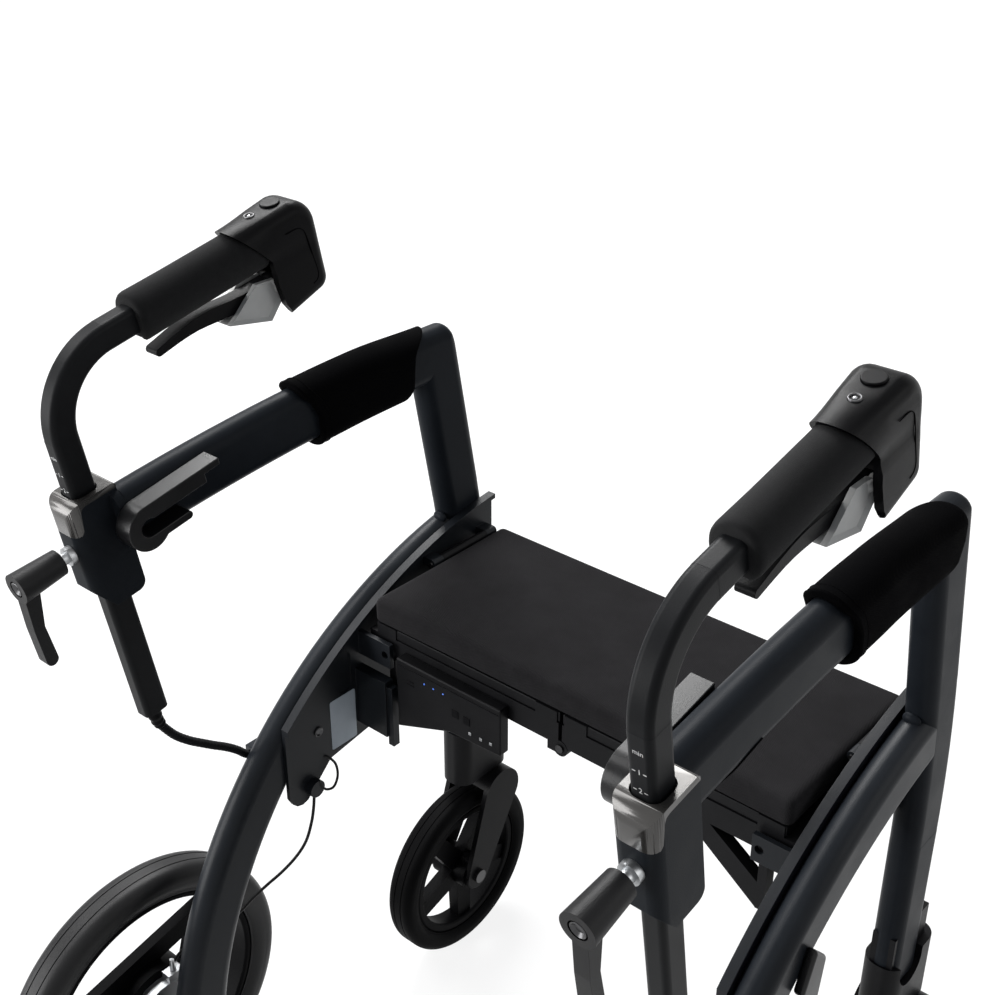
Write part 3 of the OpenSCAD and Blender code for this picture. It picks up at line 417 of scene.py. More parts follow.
# Scale on the handle posts
# White printed marks on the flat rear face show how far each post is pushed in:
# a lowest mark and plain numbers, each between two short ticks.
POST_FACE = -11.512
MARKS = (("min", 38, 5.0), ("1", 23, 5.6), ("2", 8.5, 5.6))
PRINT_THICKNESS = 0.01
TICK_PLACES = (-3.8, 3.8)
TICK_SIZE = (2.4, 0.6, 0.02, 1)
white_print = coated("white print", (0.50, 0.50, 0.50), (0.60, 0.60, 0.60), (0.5, 0.6), 900, 0.00002)
for side, mirrored in SIDES:
    own_side = Matrix.Translation((-2 * POST_MIDDLE if mirrored else 0, 0, 0))
    for words, height, size in MARKS:
        letter = bpy.data.curves.new(f"{side}_mark_{words}", "FONT")
        letter.body = words
        letter.size = size
        letter.align_x = "CENTER"
        letter.align_y = "CENTER"
        letter.extrude = PRINT_THICKNESS
        maker = bpy.data.objects.new("mark maker", letter)
        bpy.context.scene.collection.objects.link(maker)
        bpy.context.view_layer.update()
        shape = bpy.data.meshes.new_from_object(maker.evaluated_get(bpy.context.evaluated_depsgraph_get()))
        bpy.data.objects.remove(maker)
        bm = bmesh.new()
        bm.from_mesh(shape)
        if words != "min":
            for tick in TICK_PLACES:
                bar = Matrix.Translation((tick, 0, 0)) @ Matrix.Diagonal(TICK_SIZE)
                bmesh.ops.create_cube(bm, size=1, matrix=bar)
        on_face = Matrix.Translation((0, POST_FACE, height)) @ FACING_REAR
        bm.transform(FROM_MM @ own_side @ POST_AXIS @ on_face)
        settle(f"{side}_scale_{words}", bm, f"{side}_handle", white_print, weighted=False)

# Hand grips
# Thick oval foam sleeves pushed onto the handle tubes, fuller at the rear end,
# with a groove underneath for the brake lever and a sloping front end inside the housing's collar.
GRIP_AXIS = Matrix.Translation((POST_MIDDLE, -280.11, 855.96)) @ Matrix.Rotation(math.radians(12), 4, "X")
STANDING = Matrix.Rotation(math.radians(-90), 4, "X")
GRIP_OVALS = ((84.8, 15.2, 18.2), (85.4, 16.8, 19.8), (87.2, 17.9, 20.9), (90, 18.3, 21.3),
              (104, 18.1, 21.1), (125, 17.8, 20.9), (150, 17.8, 20.9), (172, 17.9, 20.9),
              (190, 17.9, 20.9), (226, 17.9, 20.9))
GRIP_SEGMENTS = 72
GROOVE_HALF, GROOVE_ROOF = 8.4, -14.6
GRIP_CUTS = (((0, 185.6, 23.9), (0, 36, 28)), ((0, 213.3, 0), (0, 1, 0)))


def lofted(sections, segments):
    bm = bmesh.new()
    edges = []
    for place in sections:
        ring = bmesh.ops.create_circle(bm, segments=segments, radius=1, matrix=place)["verts"]
        edges += list({e for v in ring for e in v.link_edges})
    bmesh.ops.bridge_loops(bm, edges=edges)
    bmesh.ops.holes_fill(bm, edges=[e for e in bm.edges if e.is_boundary], sides=segments)
    bmesh.ops.recalc_face_normals(bm, faces=bm.faces)
    return bm


grip_foam = coated("grip foam", (0.0120, 0.0120, 0.0124), (0.0170, 0.0170, 0.0176),
                   (0.80, 0.95), 2600, 0.0006, patch_scale=60, gleam=0.05, sheen=0.04)
for side, mirrored in SIDES:
    bm = lofted([Matrix.Translation((0, run, 0)) @ STANDING @ Matrix.Diagonal((half_wide, half_tall, 1, 1))
                 for run, half_wide, half_tall in GRIP_OVALS], GRIP_SEGMENTS)
    for v in bm.verts:
        if abs(v.co.x) < GROOVE_HALF and v.co.z < 0:
            v.co.z = GROOVE_ROOF
    for where, facing in GRIP_CUTS:
        cut_across(bm, where, facing, clear=True)
        bmesh.ops.holes_fill(bm, edges=[e for e in bm.edges if e.is_boundary], sides=0)
    bm.transform(FROM_MM @ GRIP_AXIS)
    grip = settle(f"{side}_grip_sleeve", bm, f"{side}_handle", grip_foam,
                  (f"{side}_hand_grip",), mirrored=mirrored, angle=50, weighted=False)

# Handle housings
# Moulded soft-touch shells screwed to the front ends of the handle tubes. They swell round the front,
# hang down in two cheeks for the brake lever's pivot, and end in a sloping collar on the grip.
HOUSING = GRIP_AXIS @ Matrix.Translation((0, 185.6, 0))


def arc_points(centre, radius, first, last, steps):
    turns = [math.radians(first + (last - first) * i / steps) for i in range(steps + 1)]
    return [(centre[0] + radius * math.cos(a), centre[1] + radius * math.sin(a)) for a in turns]


def slab(outline, x0, x1):
    bm = bmesh.new()
    ring = [bmesh.ops.create_vert(bm, co=(x0, y, z))["vert"][0] for y, z in outline]
    sides = [bmesh.ops.contextual_create(bm, geom=[a, b])["edges"][0]
             for a, b in zip(ring, ring[1:] + ring[:1])]
    face = bmesh.ops.contextual_create(bm, geom=sides)["faces"][0]
    grown = bmesh.ops.extrude_face_region(bm, geom=[face])["geom"]
    bmesh.ops.translate(bm, vec=(x1 - x0, 0, 0),
                        verts=[g for g in grown if isinstance(g, bmesh.types.BMVert)])
    bmesh.ops.recalc_face_normals(bm, faces=bm.faces)
    return bm


def cut_away(bm, *cutters):
    makers = []
    for shape in (bm, *cutters):
        mesh = bpy.data.meshes.new("housing maker")
        shape.to_mesh(mesh)
        shape.free()
        makers.append(bpy.data.objects.new("housing maker", mesh))
        bpy.context.scene.collection.objects.link(makers[-1])
    for tool in makers[1:]:
        cut = makers[0].modifiers.new("cut", "BOOLEAN")
        cut.operation = "DIFFERENCE"
        cut.solver = "EXACT"
        cut.object = tool
    bpy.context.view_layer.update()
    mesh = bpy.data.meshes.new_from_object(makers[0].evaluated_get(bpy.context.evaluated_depsgraph_get()))
    for maker in makers:
        bpy.data.objects.remove(maker)
    left_over = bmesh.new()
    left_over.from_mesh(mesh)
    bmesh.ops.remove_doubles(left_over, verts=left_over.verts, dist=0.001)
    return left_over


def within(share):
    return min(1, max(0, share))


def eased(share):
    return share * share * (3 - 2 * share)


HOUSING_HALF, HOUSING_RIM = 20.8, 10.5
HOUSING_SIDE = ([(-45, 25)] + arc_points((59, 2), 23, 90, 0, 12) + arc_points((70, -48), 12, 0, -80.7, 9)
                + [(-45, -79)])
HOUSING_GRID = ((0, range(-18, 19, 6)), (1, range(-40, 44, 6)), (2, range(-24, 24, 6)))
REAR_SIDE = [(-43.6, 80), (28, -12), (27.5, -32), (30, -52), (34.3, -60.5), (42, -72), (42, -95),
             (-95, -95), (-95, 80)]
COLLAR_WIDE, COLLAR_TALL = 20.2, 24.3
COLLAR_REACH, COLLAR_SQUARE = 50, 0.87
COLLAR_RUN, COLLAR_RISE, COLLAR_SLANT, COLLAR_TOP = 36, 28, 45.6, 24
CHEEK_TOP, CHEEK_BLEND = -26, 16
CHEEK_SLOT = Matrix.Translation((0, -5, -67.75)) @ Matrix.Diagonal((28, 110, 104.5, 1))
PIVOT = Matrix.Translation((0, 35.7, -39)) @ Matrix.Rotation(math.radians(90), 4, "Y")
PIVOT_RADIUS, PIVOT_LENGTH = 3, 30
soft_black = coated("soft-touch black", (0.0016, 0.0016, 0.0020), (0.0026, 0.0026, 0.0032),
                    (0.30, 0.40), 2200, 0.00014, gleam=0.05)
for side, mirrored in SIDES:
    bm = slab(HOUSING_SIDE, -HOUSING_HALF, HOUSING_HALF)
    round_edges(bm, [e for e in bm.edges if abs(e.verts[0].co.x - e.verts[1].co.x) < 0.01], HOUSING_RIM, 7)
    for axis, stops in HOUSING_GRID:
        facing = Vector([float(axis == n) for n in range(3)])
        for stop in stops:
            cut_across(bm, facing * stop, facing)
    for v in bm.verts:
        ahead = (COLLAR_RUN * v.co.y + COLLAR_RISE * (v.co.z - COLLAR_TOP)) / COLLAR_SLANT
        share = within(1 - ahead / COLLAR_REACH) * within((v.co.z - CHEEK_TOP) / CHEEK_BLEND)
        turn = math.atan2(v.co.z / COLLAR_TALL, v.co.x / COLLAR_WIDE)
        wide, tall = (math.copysign(abs(c) ** COLLAR_SQUARE, c) for c in (math.cos(turn), math.sin(turn)))
        v.co = v.co.lerp(Vector((COLLAR_WIDE * wide, v.co.y, COLLAR_TALL * tall)), eased(share))
    slot = bmesh.new()
    bmesh.ops.create_cube(slot, size=1, matrix=CHEEK_SLOT)
    bm = cut_away(bm, slab(REAR_SIDE, -40, 40), slot)
    bm.transform(FROM_MM @ HOUSING)
    settle(f"{side}_housing_shell", bm, f"{side}_handle", soft_black,
           (f"{side}_handle_housing",), mirrored=mirrored, angle=28)
    bm = bmesh.new()
    bmesh.ops.create_cone(bm, cap_ends=True, segments=24, radius1=PIVOT_RADIUS, radius2=PIVOT_RADIUS,
                          depth=PIVOT_LENGTH, matrix=PIVOT)
    bm.transform(FROM_MM @ HOUSING)
    settle(f"{side}_brake_pivot_pin", bm, f"{side}_handle", screw_black, mirrored=mirrored)

# Housing buttons and eyelets
# A round push button stands a little proud of each housing's top, with a small metal eyelet behind it.
# The button is the same plastic as the shell, moulded on its own.
BUTTON_ROUNDING = 0.001
EYELET_RADIUS, EYELET_WIRE = 3.9, 0.9
EYELET_PLACE, CORE_PLACE = (0, 30, 24.6), (0, 30, 24.7)
CORE_RADIUS, CORE_FLATTEN = 1.5, (1, 1, 0.5)
for side, mirrored in SIDES:
    rounded_copy(f"{side}_housing_button", BUTTON_ROUNDING, soft_black, 3)
    bm = bmesh.new()
    bmesh.ops.create_circle(bm, segments=12, radius=EYELET_WIRE,
                            matrix=Matrix.Translation((EYELET_RADIUS, 0, 0)) @ FACING_REAR)
    bmesh.ops.spin(bm, geom=list(bm.verts) + list(bm.edges), cent=(0, 0, 0), axis=(0, 0, 1), angle=math.tau,
                   steps=36, use_merge=True)
    bmesh.ops.remove_doubles(bm, verts=bm.verts, dist=0.001)
    bmesh.ops.recalc_face_normals(bm, faces=bm.faces)
    bm.transform(FROM_MM @ HOUSING @ Matrix.Translation(EYELET_PLACE))
    settle(f"{side}_eyelet", bm, f"{side}_handle", screw_black,
           mirrored=mirrored, angle=60, weighted=False)
    bm = bmesh.new()
    bmesh.ops.create_uvsphere(bm, u_segments=16, v_segments=10, radius=CORE_RADIUS)
    bmesh.ops.scale(bm, vec=CORE_FLATTEN, verts=bm.verts)
    bm.transform(FROM_MM @ HOUSING @ Matrix.Translation(CORE_PLACE))
    settle(f"{side}_eyelet_core", bm, f"{side}_handle", zinc, mirrored=mirrored, weighted=False)

# Brake levers
# Moulded levers that hang between the cheeks of the housings and close up into the groove of the grips.
# They are glossy where fingers rub them.
BRAKE_ROUNDING = 0.0025
lever_black = coated("brake lever plastic", (0.0030, 0.0030, 0.0034), (0.0048, 0.0048, 0.0054),
                     (0.30, 0.40), 1600, 0.00014, gleam=0.05)
for side, mirrored in SIDES:
    rounded_copy(f"{side}_brake_lever", BRAKE_ROUNDING, lever_black, 4)

# Parking catches
# Pale grey nylon wings beside each brake lever, joined under it, that swing down to hold the brake on.
# Their outer faces are hollowed by the mould, with a rim left all round.
CATCH_ROUNDING = 0.0005
CATCH_MIDDLE, WING_OUT = 0.27, 0.0118
WING_RIM, WING_HOLLOW = 0.003, 0.003
catch_grey = coated("grey nylon", (0.42, 0.42, 0.41), (0.50, 0.50, 0.49), (0.42, 0.52), 1500, 0.0001)


def hollow_wings(bm):
    outer = [f for f in bm.faces if abs(f.normal.x) > 0.99
             and abs(abs(f.calc_center_median().x) - CATCH_MIDDLE) > WING_OUT]
    bmesh.ops.inset_region(bm, faces=outer, thickness=WING_RIM, depth=-WING_HOLLOW, use_even_offset=True)


for side, mirrored in SIDES:
    rounded_copy(f"{side}_parking_catch", CATCH_ROUNDING, catch_grey, reshape=hollow_wings)

# Arm pads
# Neoprene sleeves closed around the front of each arm, with a turned and stitched hem at the rear end.
# The front edge slopes on the inner side, thins out on top and wraps further round on the outer side.
ARM_CENTRE = Vector((TUBE_MIDDLE, 100, -1464))
ARM_RADIUS = 2213
SLEEVE_WIDE, SLEEVE_TALL = 20.3, 33.3
SLEEVE_REAR, SLEEVE_FRONT, SLEEVE_STEPS = -53.5, 100, 30
SLEEVE_WALL = 0.0058
TOP_HEIGHT = 34
REAR_EDGE, REAR_SLOPE, REAR_TURN = -38, 2, 14
INNER_EDGE, INNER_TOP, INNER_LOW = 79, 22, 8
OUTER_EDGE, OUTER_LOW = 117, 30
FRONT_THINNING = 4.2
HEM_PARTS = (("hem", 0.7, -54, -43.5, 4, 0.006), ("stitch_a", 1.0, -52.4, -51.6, 1, 0.001),
             ("stitch_b", 1.0, -45.4, -44.6, 1, 0.001))
weave = bpy.data.node_groups.new("woven cover", "ShaderNodeTree")
weave.interface.new_socket("Threads", in_out="INPUT", socket_type="NodeSocketFloat")
weave.interface.new_socket("Height", in_out="OUTPUT", socket_type="NodeSocketFloat")
inlet = weave.nodes.new("NodeGroupInput")
outlet = weave.nodes.new("NodeGroupOutput")
place = weave.nodes.new("ShaderNodeTexCoord")
slant = weave.nodes.new("ShaderNodeMapping")
slant.inputs["Rotation"].default_value = (0.55, 0.5, 0.1)
weave.links.new(place.outputs["Object"], slant.inputs["Vector"])
cross = weave.nodes.new("ShaderNodeMath")
cross.operation = "MULTIPLY"
for n, direction in enumerate(("X", "Y")):
    wave = weave.nodes.new("ShaderNodeTexWave")
    wave.bands_direction = direction
    wave.inputs["Distortion"].default_value = 0.6
    wave.inputs["Detail"].default_value = 1
    wave.inputs["Detail Scale"].default_value = 1.5
    weave.links.new(slant.outputs["Vector"], wave.inputs["Vector"])
    weave.links.new(inlet.outputs["Threads"], wave.inputs["Scale"])
    weave.links.new(wave.outputs["Fac"], cross.inputs[n])
weave.links.new(cross.outputs[0], outlet.inputs["Height"])


def woven(name, deep, pale, threads, depth, sheen):
    cover = coated(name, deep, pale, (0.78, 0.92), 1200, 0.0001, patch_scale=30, gleam=0.01, sheen=sheen)
    tree = cover.node_tree
    skin_bump = [n for n in tree.nodes if n.type == "BUMP"][0]
    threads_group = tree.nodes.new("ShaderNodeGroup")
    threads_group.node_tree = weave
    threads_group.inputs["Threads"].default_value = threads
    thread_bump = tree.nodes.new("ShaderNodeBump")
    thread_bump.inputs["Strength"].default_value = 0.7
    thread_bump.inputs["Distance"].default_value = depth
    tree.links.new(threads_group.outputs["Height"], thread_bump.inputs["Height"])
    tree.links.new(skin_bump.outputs["Normal"], thread_bump.inputs["Normal"])
    tree.links.new(thread_bump.outputs["Normal"], tree.nodes["Principled BSDF"].inputs["Normal"])
    return cover


def arm_sleeve(half_wide, half_tall, y0, y1, steps):
    bm = bmesh.new()
    ring = bmesh.ops.create_circle(bm, segments=48, radius=half_wide)["verts"]
    for v in ring:
        v.co.y += math.copysign(half_tall - half_wide, v.co.y) if abs(v.co.y) > 0.01 else 0
    bmesh.ops.rotate(bm, verts=ring, cent=(0, 0, 0), matrix=Matrix.Rotation(math.radians(90), 3, "X"))
    bmesh.ops.translate(bm, vec=ARM_CENTRE + Vector((0, 0, ARM_RADIUS)), verts=ring)
    turn = math.asin((ARM_CENTRE.y - y0) / ARM_RADIUS)
    bmesh.ops.rotate(bm, verts=ring, cent=ARM_CENTRE, matrix=Matrix.Rotation(turn, 3, "X"))
    bmesh.ops.spin(bm, geom=list(bm.verts) + list(bm.edges), cent=ARM_CENTRE, axis=(1, 0, 0),
                   angle=-(y1 - y0) / ARM_RADIUS, steps=steps)
    return bm


def drawn_over(v, y0, y1, hem=False):
    height = (math.hypot(v.co.y - ARM_CENTRE.y, v.co.z - ARM_CENTRE.z) - ARM_RADIUS) / TOP_HEIGHT
    out = eased(within(((v.co.x - TUBE_MIDDLE) / SLEEVE_WIDE + 1) / 2))
    crown = within(height)
    rear = REAR_EDGE - REAR_SLOPE * height - REAR_TURN * eased(crown)
    inner = (INNER_EDGE + INNER_TOP * max(0, (height - 0.25) / 0.75) ** 2
             - INNER_LOW * max(0, (-0.24 - height) / 0.6) ** 2)
    outer = OUTER_EDGE - OUTER_LOW * max(0, (-0.07 - height) / 0.93) ** 2
    run = ARM_CENTRE.y - math.atan2(ARM_CENTRE.y - v.co.y, v.co.z - ARM_CENTRE.z) * ARM_RADIUS
    share = (run - y0) / (y1 - y0)
    moved = rear + run - SLEEVE_REAR if hem else rear + share * (inner + out * (outer - inner) - rear)
    v.co = ARM_CENTRE + Matrix.Rotation((moved - run) / -ARM_RADIUS, 3, "X") @ (v.co - ARM_CENTRE)
    if not hem:
        v.co.z -= FRONT_THINNING * crown * eased(within((share - 0.45) / 0.55))
    return share


def soft_wall(piece, thickness):
    wall = piece.modifiers.new("cloth thickness", "SOLIDIFY")
    wall.thickness = thickness
    wall.offset = -1
    soft = piece.modifiers.new("soft cut edges", "BEVEL")
    soft.width = 0.0016
    soft.segments = 3
    soft.limit_method = "ANGLE"


neoprene = woven("black neoprene", (0.0008, 0.0008, 0.0010), (0.0015, 0.0015, 0.0018), 420, 0.00012, 0.004)
for side, mirrored in SIDES:
    bm = arm_sleeve(SLEEVE_WIDE, SLEEVE_TALL, SLEEVE_REAR, SLEEVE_FRONT, SLEEVE_STEPS)
    for v in bm.verts:
        share = drawn_over(v, SLEEVE_REAR, SLEEVE_FRONT)
        swell = 0.018 * math.sin(math.pi * min(1, share * 2.5)) + 0.006 * math.sin(9 * share)
        v.co.x = TUBE_MIDDLE + (v.co.x - TUBE_MIDDLE) * (1 + swell)
    bmesh.ops.recalc_face_normals(bm, faces=bm.faces)
    bm.transform(FROM_MM)
    pad = settle(f"{side}_arm_sleeve", bm, f"{side}_frame", neoprene, (f"{side}_arm_pad",),
                 mirrored=mirrored, angle=60, weighted=False)
    soft_wall(pad, SLEEVE_WALL)
    for name, grow, y0, y1, steps, thickness in HEM_PARTS:
        bm = arm_sleeve(SLEEVE_WIDE + grow, SLEEVE_TALL + grow, y0, y1, steps)
        for v in bm.verts:
            drawn_over(v, y0, y1, hem=True)
        bmesh.ops.recalc_face_normals(bm, faces=bm.faces)
        bm.transform(FROM_MM)
        band = settle(f"{side}_arm_sleeve_{name}", bm, f"{side}_frame", neoprene,
                      mirrored=mirrored, angle=60, weighted=False)
        soft_wall(band, thickness)

# Arm clips
# Moulded hooks on the inner side of each arm, open to the front, that hold the loops of a back strap.
# The plastic is glossier than the plates.
CLIP_ROUNDING = 0.0016
clip_plastic = coated("glossy black plastic", (0.0040, 0.0041, 0.0046), (0.0062, 0.0063, 0.0070),
                      (0.26, 0.34), 1500, 0.0001, gleam=0.22)
for side, mirrored in SIDES:
    rounded_copy(f"{side}_arm_clip", CLIP_ROUNDING, clip_plastic, 3)

# Side plates
# Folded steel plates under the rails that carry the seat hinges, with a flange along the rail.
# They are painted black-blue and held by socket screws.
PLATE_ROUNDING = 0.0008
PLATE_SCREWS = ((239.4, -66, 424), (239.4, 60, 500), (239.4, 140, 520))
PLATE_SCREW_RADIUS, PLATE_SCREW_DEPTH = 5, 2.4
FACING_IN = Matrix.Rotation(math.radians(-90), 4, "Y")
plate_paint = coated("plate paint", (0.0055, 0.0066, 0.0084), (0.0078, 0.0092, 0.0116),
                     (0.34, 0.44), 1000, 0.00012, gleam=0.14)
for side, mirrored in SIDES:
    rounded_copy(f"{side}_side_plate", PLATE_ROUNDING, plate_paint)
    for n, place in enumerate(PLATE_SCREWS):
        bm = socket_screw(PLATE_SCREW_RADIUS, PLATE_SCREW_DEPTH)
        bm.transform(FROM_MM @ Matrix.Translation(place) @ FACING_IN)
        settle(f"{side}_plate_screw_{n}", bm, f"{side}_frame", screw_black, mirrored=mirrored)

# Label place
# A pale film label with rounded corners is stuck on the inner face of the left plate.
# It is plain, with no print.
LABEL_PLACE, LABEL_SIZE = (-239.85, -33, 420), (0.3, 33, 56, 1)
LABEL_CORNER = 2
label_film = coated("pale label film", (0.36, 0.40, 0.44), (0.44, 0.48, 0.52), (0.3, 0.4), 600, 0.00003)
bm = bmesh.new()
bmesh.ops.create_cube(bm, size=1, matrix=Matrix.Translation(LABEL_PLACE) @ Matrix.Diagonal(LABEL_SIZE))
round_edges(bm, [e for e in bm.edges if abs((e.verts[0].co - e.verts[1].co).x) > 0.1], LABEL_CORNER, 3)
bm.transform(FROM_MM)
settle("plate_label", bm, "left_frame", label_film, weighted=False)

# Seat half frames
# Two welded steel half frames, painted black, that turn on pins in the side plates and on one pin
# in the middle. Thin black board strips lie on their rails under the pad.
SEAT_ROUNDING = 0.0012
STRIP_RUNS = (10.4, 174.6)
STRIP_MIDDLE, STRIP_HEIGHT = 112, 518.5
STRIP_SIZE, STRIP_ROUNDING = (221, 18.6, 10.3, 1), 1.2
seat_coat = coated("seat frame paint", (0.0046, 0.0046, 0.0052), (0.0070, 0.0070, 0.0078),
                   (0.38, 0.48), 1100, 0.00012, gleam=0.08)
for side, mirrored in SIDES:
    rounded_copy(f"{side}_seat_frame", SEAT_ROUNDING, seat_coat)
    dress(f"{side}_hinge_pin", screw_black)
    bm = bmesh.new()
    for y in STRIP_RUNS:
        strip = Matrix.Translation((STRIP_MIDDLE, y, STRIP_HEIGHT)) @ Matrix.Diagonal(STRIP_SIZE)
        bmesh.ops.create_cube(bm, size=1, matrix=strip)
    round_edges(bm, list(bm.edges), STRIP_ROUNDING, 2)
    bm.transform(FROM_MM)
    settle(f"{side}_seat_board", bm, f"seat_{side}", seat_coat, mirrored=mirrored)
dress("centre_hinge_pin", screw_black)

# Seat pad
# One thin foam pad over both seat halves, in a dark close-woven cover pulled over a board.
# Its top is lightly crowned, its long sides draw in a little, and it bends where the seat folds.
PAD_HALF = Vector((225, 92.5, 13))
PAD_PLACE = (0, 92.5, 537)
PAD_CUTS = ((0, 44), (1, 16))
PAD_TOP_ROUNDING, PAD_LOW_ROUNDING = 7, 3
PAD_CROWN, PAD_SETTLE = 2.6, 1.1
DRAW_LONG, DRAW_SHORT, SIDE_BULGE = 1.4, 0.9, 0.7
seat_cover = woven("charcoal seat cover", (0.0128, 0.0122, 0.0130), (0.0164, 0.0158, 0.0168),
                   230, 0.0003, 0.03)
bm = bmesh.new()
bmesh.ops.create_cube(bm, size=2)
bmesh.ops.scale(bm, vec=PAD_HALF, verts=bm.verts)
for axis, cuts in PAD_CUTS:
    runs = [e for e in bm.edges if abs((e.verts[0].co - e.verts[1].co).normalized()[axis]) > 0.99]
    bmesh.ops.subdivide_edges(bm, edges=runs, cuts=cuts, use_grid_fill=True)
rim = [e for e in bm.edges if e.calc_face_angle() > 1]
round_edges(bm, [e for e in rim if max(v.co.z for v in e.verts) > 0], PAD_TOP_ROUNDING, 5)
round_edges(bm, [e for e in bm.edges if e.calc_face_angle() > 1], PAD_LOW_ROUNDING, 3)
for v in bm.verts:
    along, across_pad = v.co.x / PAD_HALF.x, v.co.y / PAD_HALF.y
    if v.co.z > 4:
        v.co.z += PAD_CROWN * (1 - along ** 4) * (1 - across_pad ** 2) - PAD_SETTLE
    v.co.y -= DRAW_LONG * across_pad * (1 - along ** 2)
    v.co.x -= DRAW_SHORT * along * (1 - across_pad ** 2)
    if abs(v.co.z) < 11 and abs(across_pad) > 0.96:
        v.co.y += SIDE_BULGE * math.copysign(1, across_pad) * (1 - (v.co.z / 13) ** 2)
bmesh.ops.translate(bm, vec=PAD_PLACE, verts=bm.verts)
bm.transform(FROM_MM)
seat_pad = settle("seat_pad", bm, None, seat_cover,
                  ("left_seat_cushion", "right_seat_cushion"), angle=60)
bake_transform(seat_pad, "seat_left", "seat_right", start=(-0.07, 0, 0), end=(0.07, 0, 0))

# Control box
# A moulded box screwed to the rear rail of the left seat half, with a moulded line near its top,
# three small blue lamps, raised plain patches and three metal contacts at its lower edge.
BOX_ROUNDING = 0.0015
LAMP_PLACES, LAMP_RADIUS, LAMP_FLATTEN = (-150, -138.5, -126.5), 0.9, (1, 0.5, 1)
LAMP_FACE, LAMP_HEIGHT = -12.1, 491.5
DETAIL_FACE, DETAIL_DEPTH, DETAIL_ROUNDING = -12.2, 0.8, 0.25
black_plastic = coated("black moulded plastic", (0.0032, 0.0032, 0.0037), (0.0050, 0.0050, 0.0057),
                       (0.36, 0.46), 1600, 0.00018, gleam=0.08)
rounded_copy("control_box", BOX_ROUNDING, black_plastic, 3)
lamp_blue = bpy.data.materials.new("blue indicator lens")
lamp_blue.use_nodes = True
tree = lamp_blue.node_tree
shader = tree.nodes["Principled BSDF"]
shader.inputs["Roughness"].default_value = 0.25
shader.inputs["Emission Strength"].default_value = 0.4
place = tree.nodes.new("ShaderNodeTexCoord")
spots = tree.nodes.new("ShaderNodeTexNoise")
spots.inputs["Scale"].default_value = 900
shade = tree.nodes.new("ShaderNodeMix")
shade.data_type = "RGBA"
shade.inputs["A"].default_value = (0.02, 0.08, 0.45, 1)
shade.inputs["B"].default_value = (0.06, 0.22, 0.85, 1)
tree.links.new(place.outputs["Object"], spots.inputs["Vector"])
tree.links.new(spots.outputs["Fac"], shade.inputs["Factor"])
tree.links.new(shade.outputs["Result"], shader.inputs["Base Color"])
tree.links.new(shade.outputs["Result"], shader.inputs["Emission Color"])
for n, x in enumerate(LAMP_PLACES):
    bm = bmesh.new()
    bmesh.ops.create_uvsphere(bm, u_segments=16, v_segments=10, radius=LAMP_RADIUS)
    bmesh.ops.scale(bm, vec=LAMP_FLATTEN, verts=bm.verts)
    bmesh.ops.translate(bm, vec=(x, LAMP_FACE, LAMP_HEIGHT), verts=bm.verts)
    bm.transform(FROM_MM)
    settle(f"indicator_lamp_{n}", bm, "seat_left", lamp_blue, weighted=False)
for n, (x, z, wide, tall, finish, slot) in enumerate((
    (-122, 499, 124, 0.9, soft_black, "black_plastic"), (-168, 486, 9, 1.2, soft_black, "black_plastic"),
    (-168, 482, 9, 1.2, soft_black, "black_plastic"), (-112, 476, 8, 8, soft_black, "black_plastic"),
    (-98, 475, 8, 8, soft_black, "black_plastic"), (-94, 463, 3, 3, zinc, "zinc"),
    (-81, 463, 3, 3, zinc, "zinc"), (-69, 464, 3, 3, zinc, "zinc"),
)):
    bm = bmesh.new()
    detail = Matrix.Translation((x, DETAIL_FACE, z)) @ Matrix.Diagonal((wide, DETAIL_DEPTH, tall, 1))
    bmesh.ops.create_cube(bm, size=1, matrix=detail)
    round_edges(bm, list(bm.edges), DETAIL_ROUNDING, 2)
    bm.transform(FROM_MM)
    settle(f"box_detail_{n}", bm, "seat_left", finish)

# Cables
# A braided sleeve leaves the foot of each handle tube through a ribbed rubber strain relief and enters
# the rail. A thin brake cable runs from the side plate, in front of the rail, to a metal ferrule
# at the rear hub.
POST_FOOT = POST_AXIS @ Vector((0, 0, -228))
RAIL_SOCKET = (278, -120.02, 410)
HANDLE_SHARES = (
    (0, -0.01, -0.05), (0, 0.019, 0.098), (0, 0.056, 0.184), (0.025, 0.114, 0.266), (0.075, 0.181, 0.349),
    (0.15, 0.261, 0.427), (0.25, 0.359, 0.509), (0.375, 0.469, 0.59), (0.5, 0.587, 0.676),
    (0.65, 0.701, 0.755), (0.8, 0.797, 0.828), (0.925, 0.879, 0.899), (1, 0.94, 0.96), (1, 0.981, 0.991),
    (1, 1.015, 1))
PLATE_HOLE, HUB_HOLE = (236, -80, 357), (298.5, -222, 196)
BRAKE_SHARES = (
    (0, 0, -0.01), (0, 0.014, 0.081), (0, 0.043, 0.181), (0.032, 0.093, 0.306), (0.096, 0.171, 0.4),
    (0.192, 0.271, 0.481), (0.304, 0.371, 0.55), (0.416, 0.464, 0.625), (0.528, 0.543, 0.706),
    (0.688, 0.629, 0.775), (0.832, 0.721, 0.831), (0.944, 0.821, 0.875), (1, 0.914, 0.906),
    (1, 0.979, 0.936), (1, 1, 0.966), (1, 1, 1.004))
SLEEVE_RADIUS, BRAID_RIB = 3.9, 0.2
RELIEF_RADIUS, RELIEF_TAPER, RELIEF_RIB = 6.2, 0.11, 0.8
BRAKE_CABLE_RADIUS = 1.55
FERRULE_WIDE, FERRULE_THIN, FERRULE_LENGTH = 3.0, 2.1, 13
FERRULE_PLACE = (298.5, -222, 203)


def laid_between(first, last, shares):
    return [Vector(a + f * (b - a) for a, b, f in zip(first, last, share)) for share in shares]


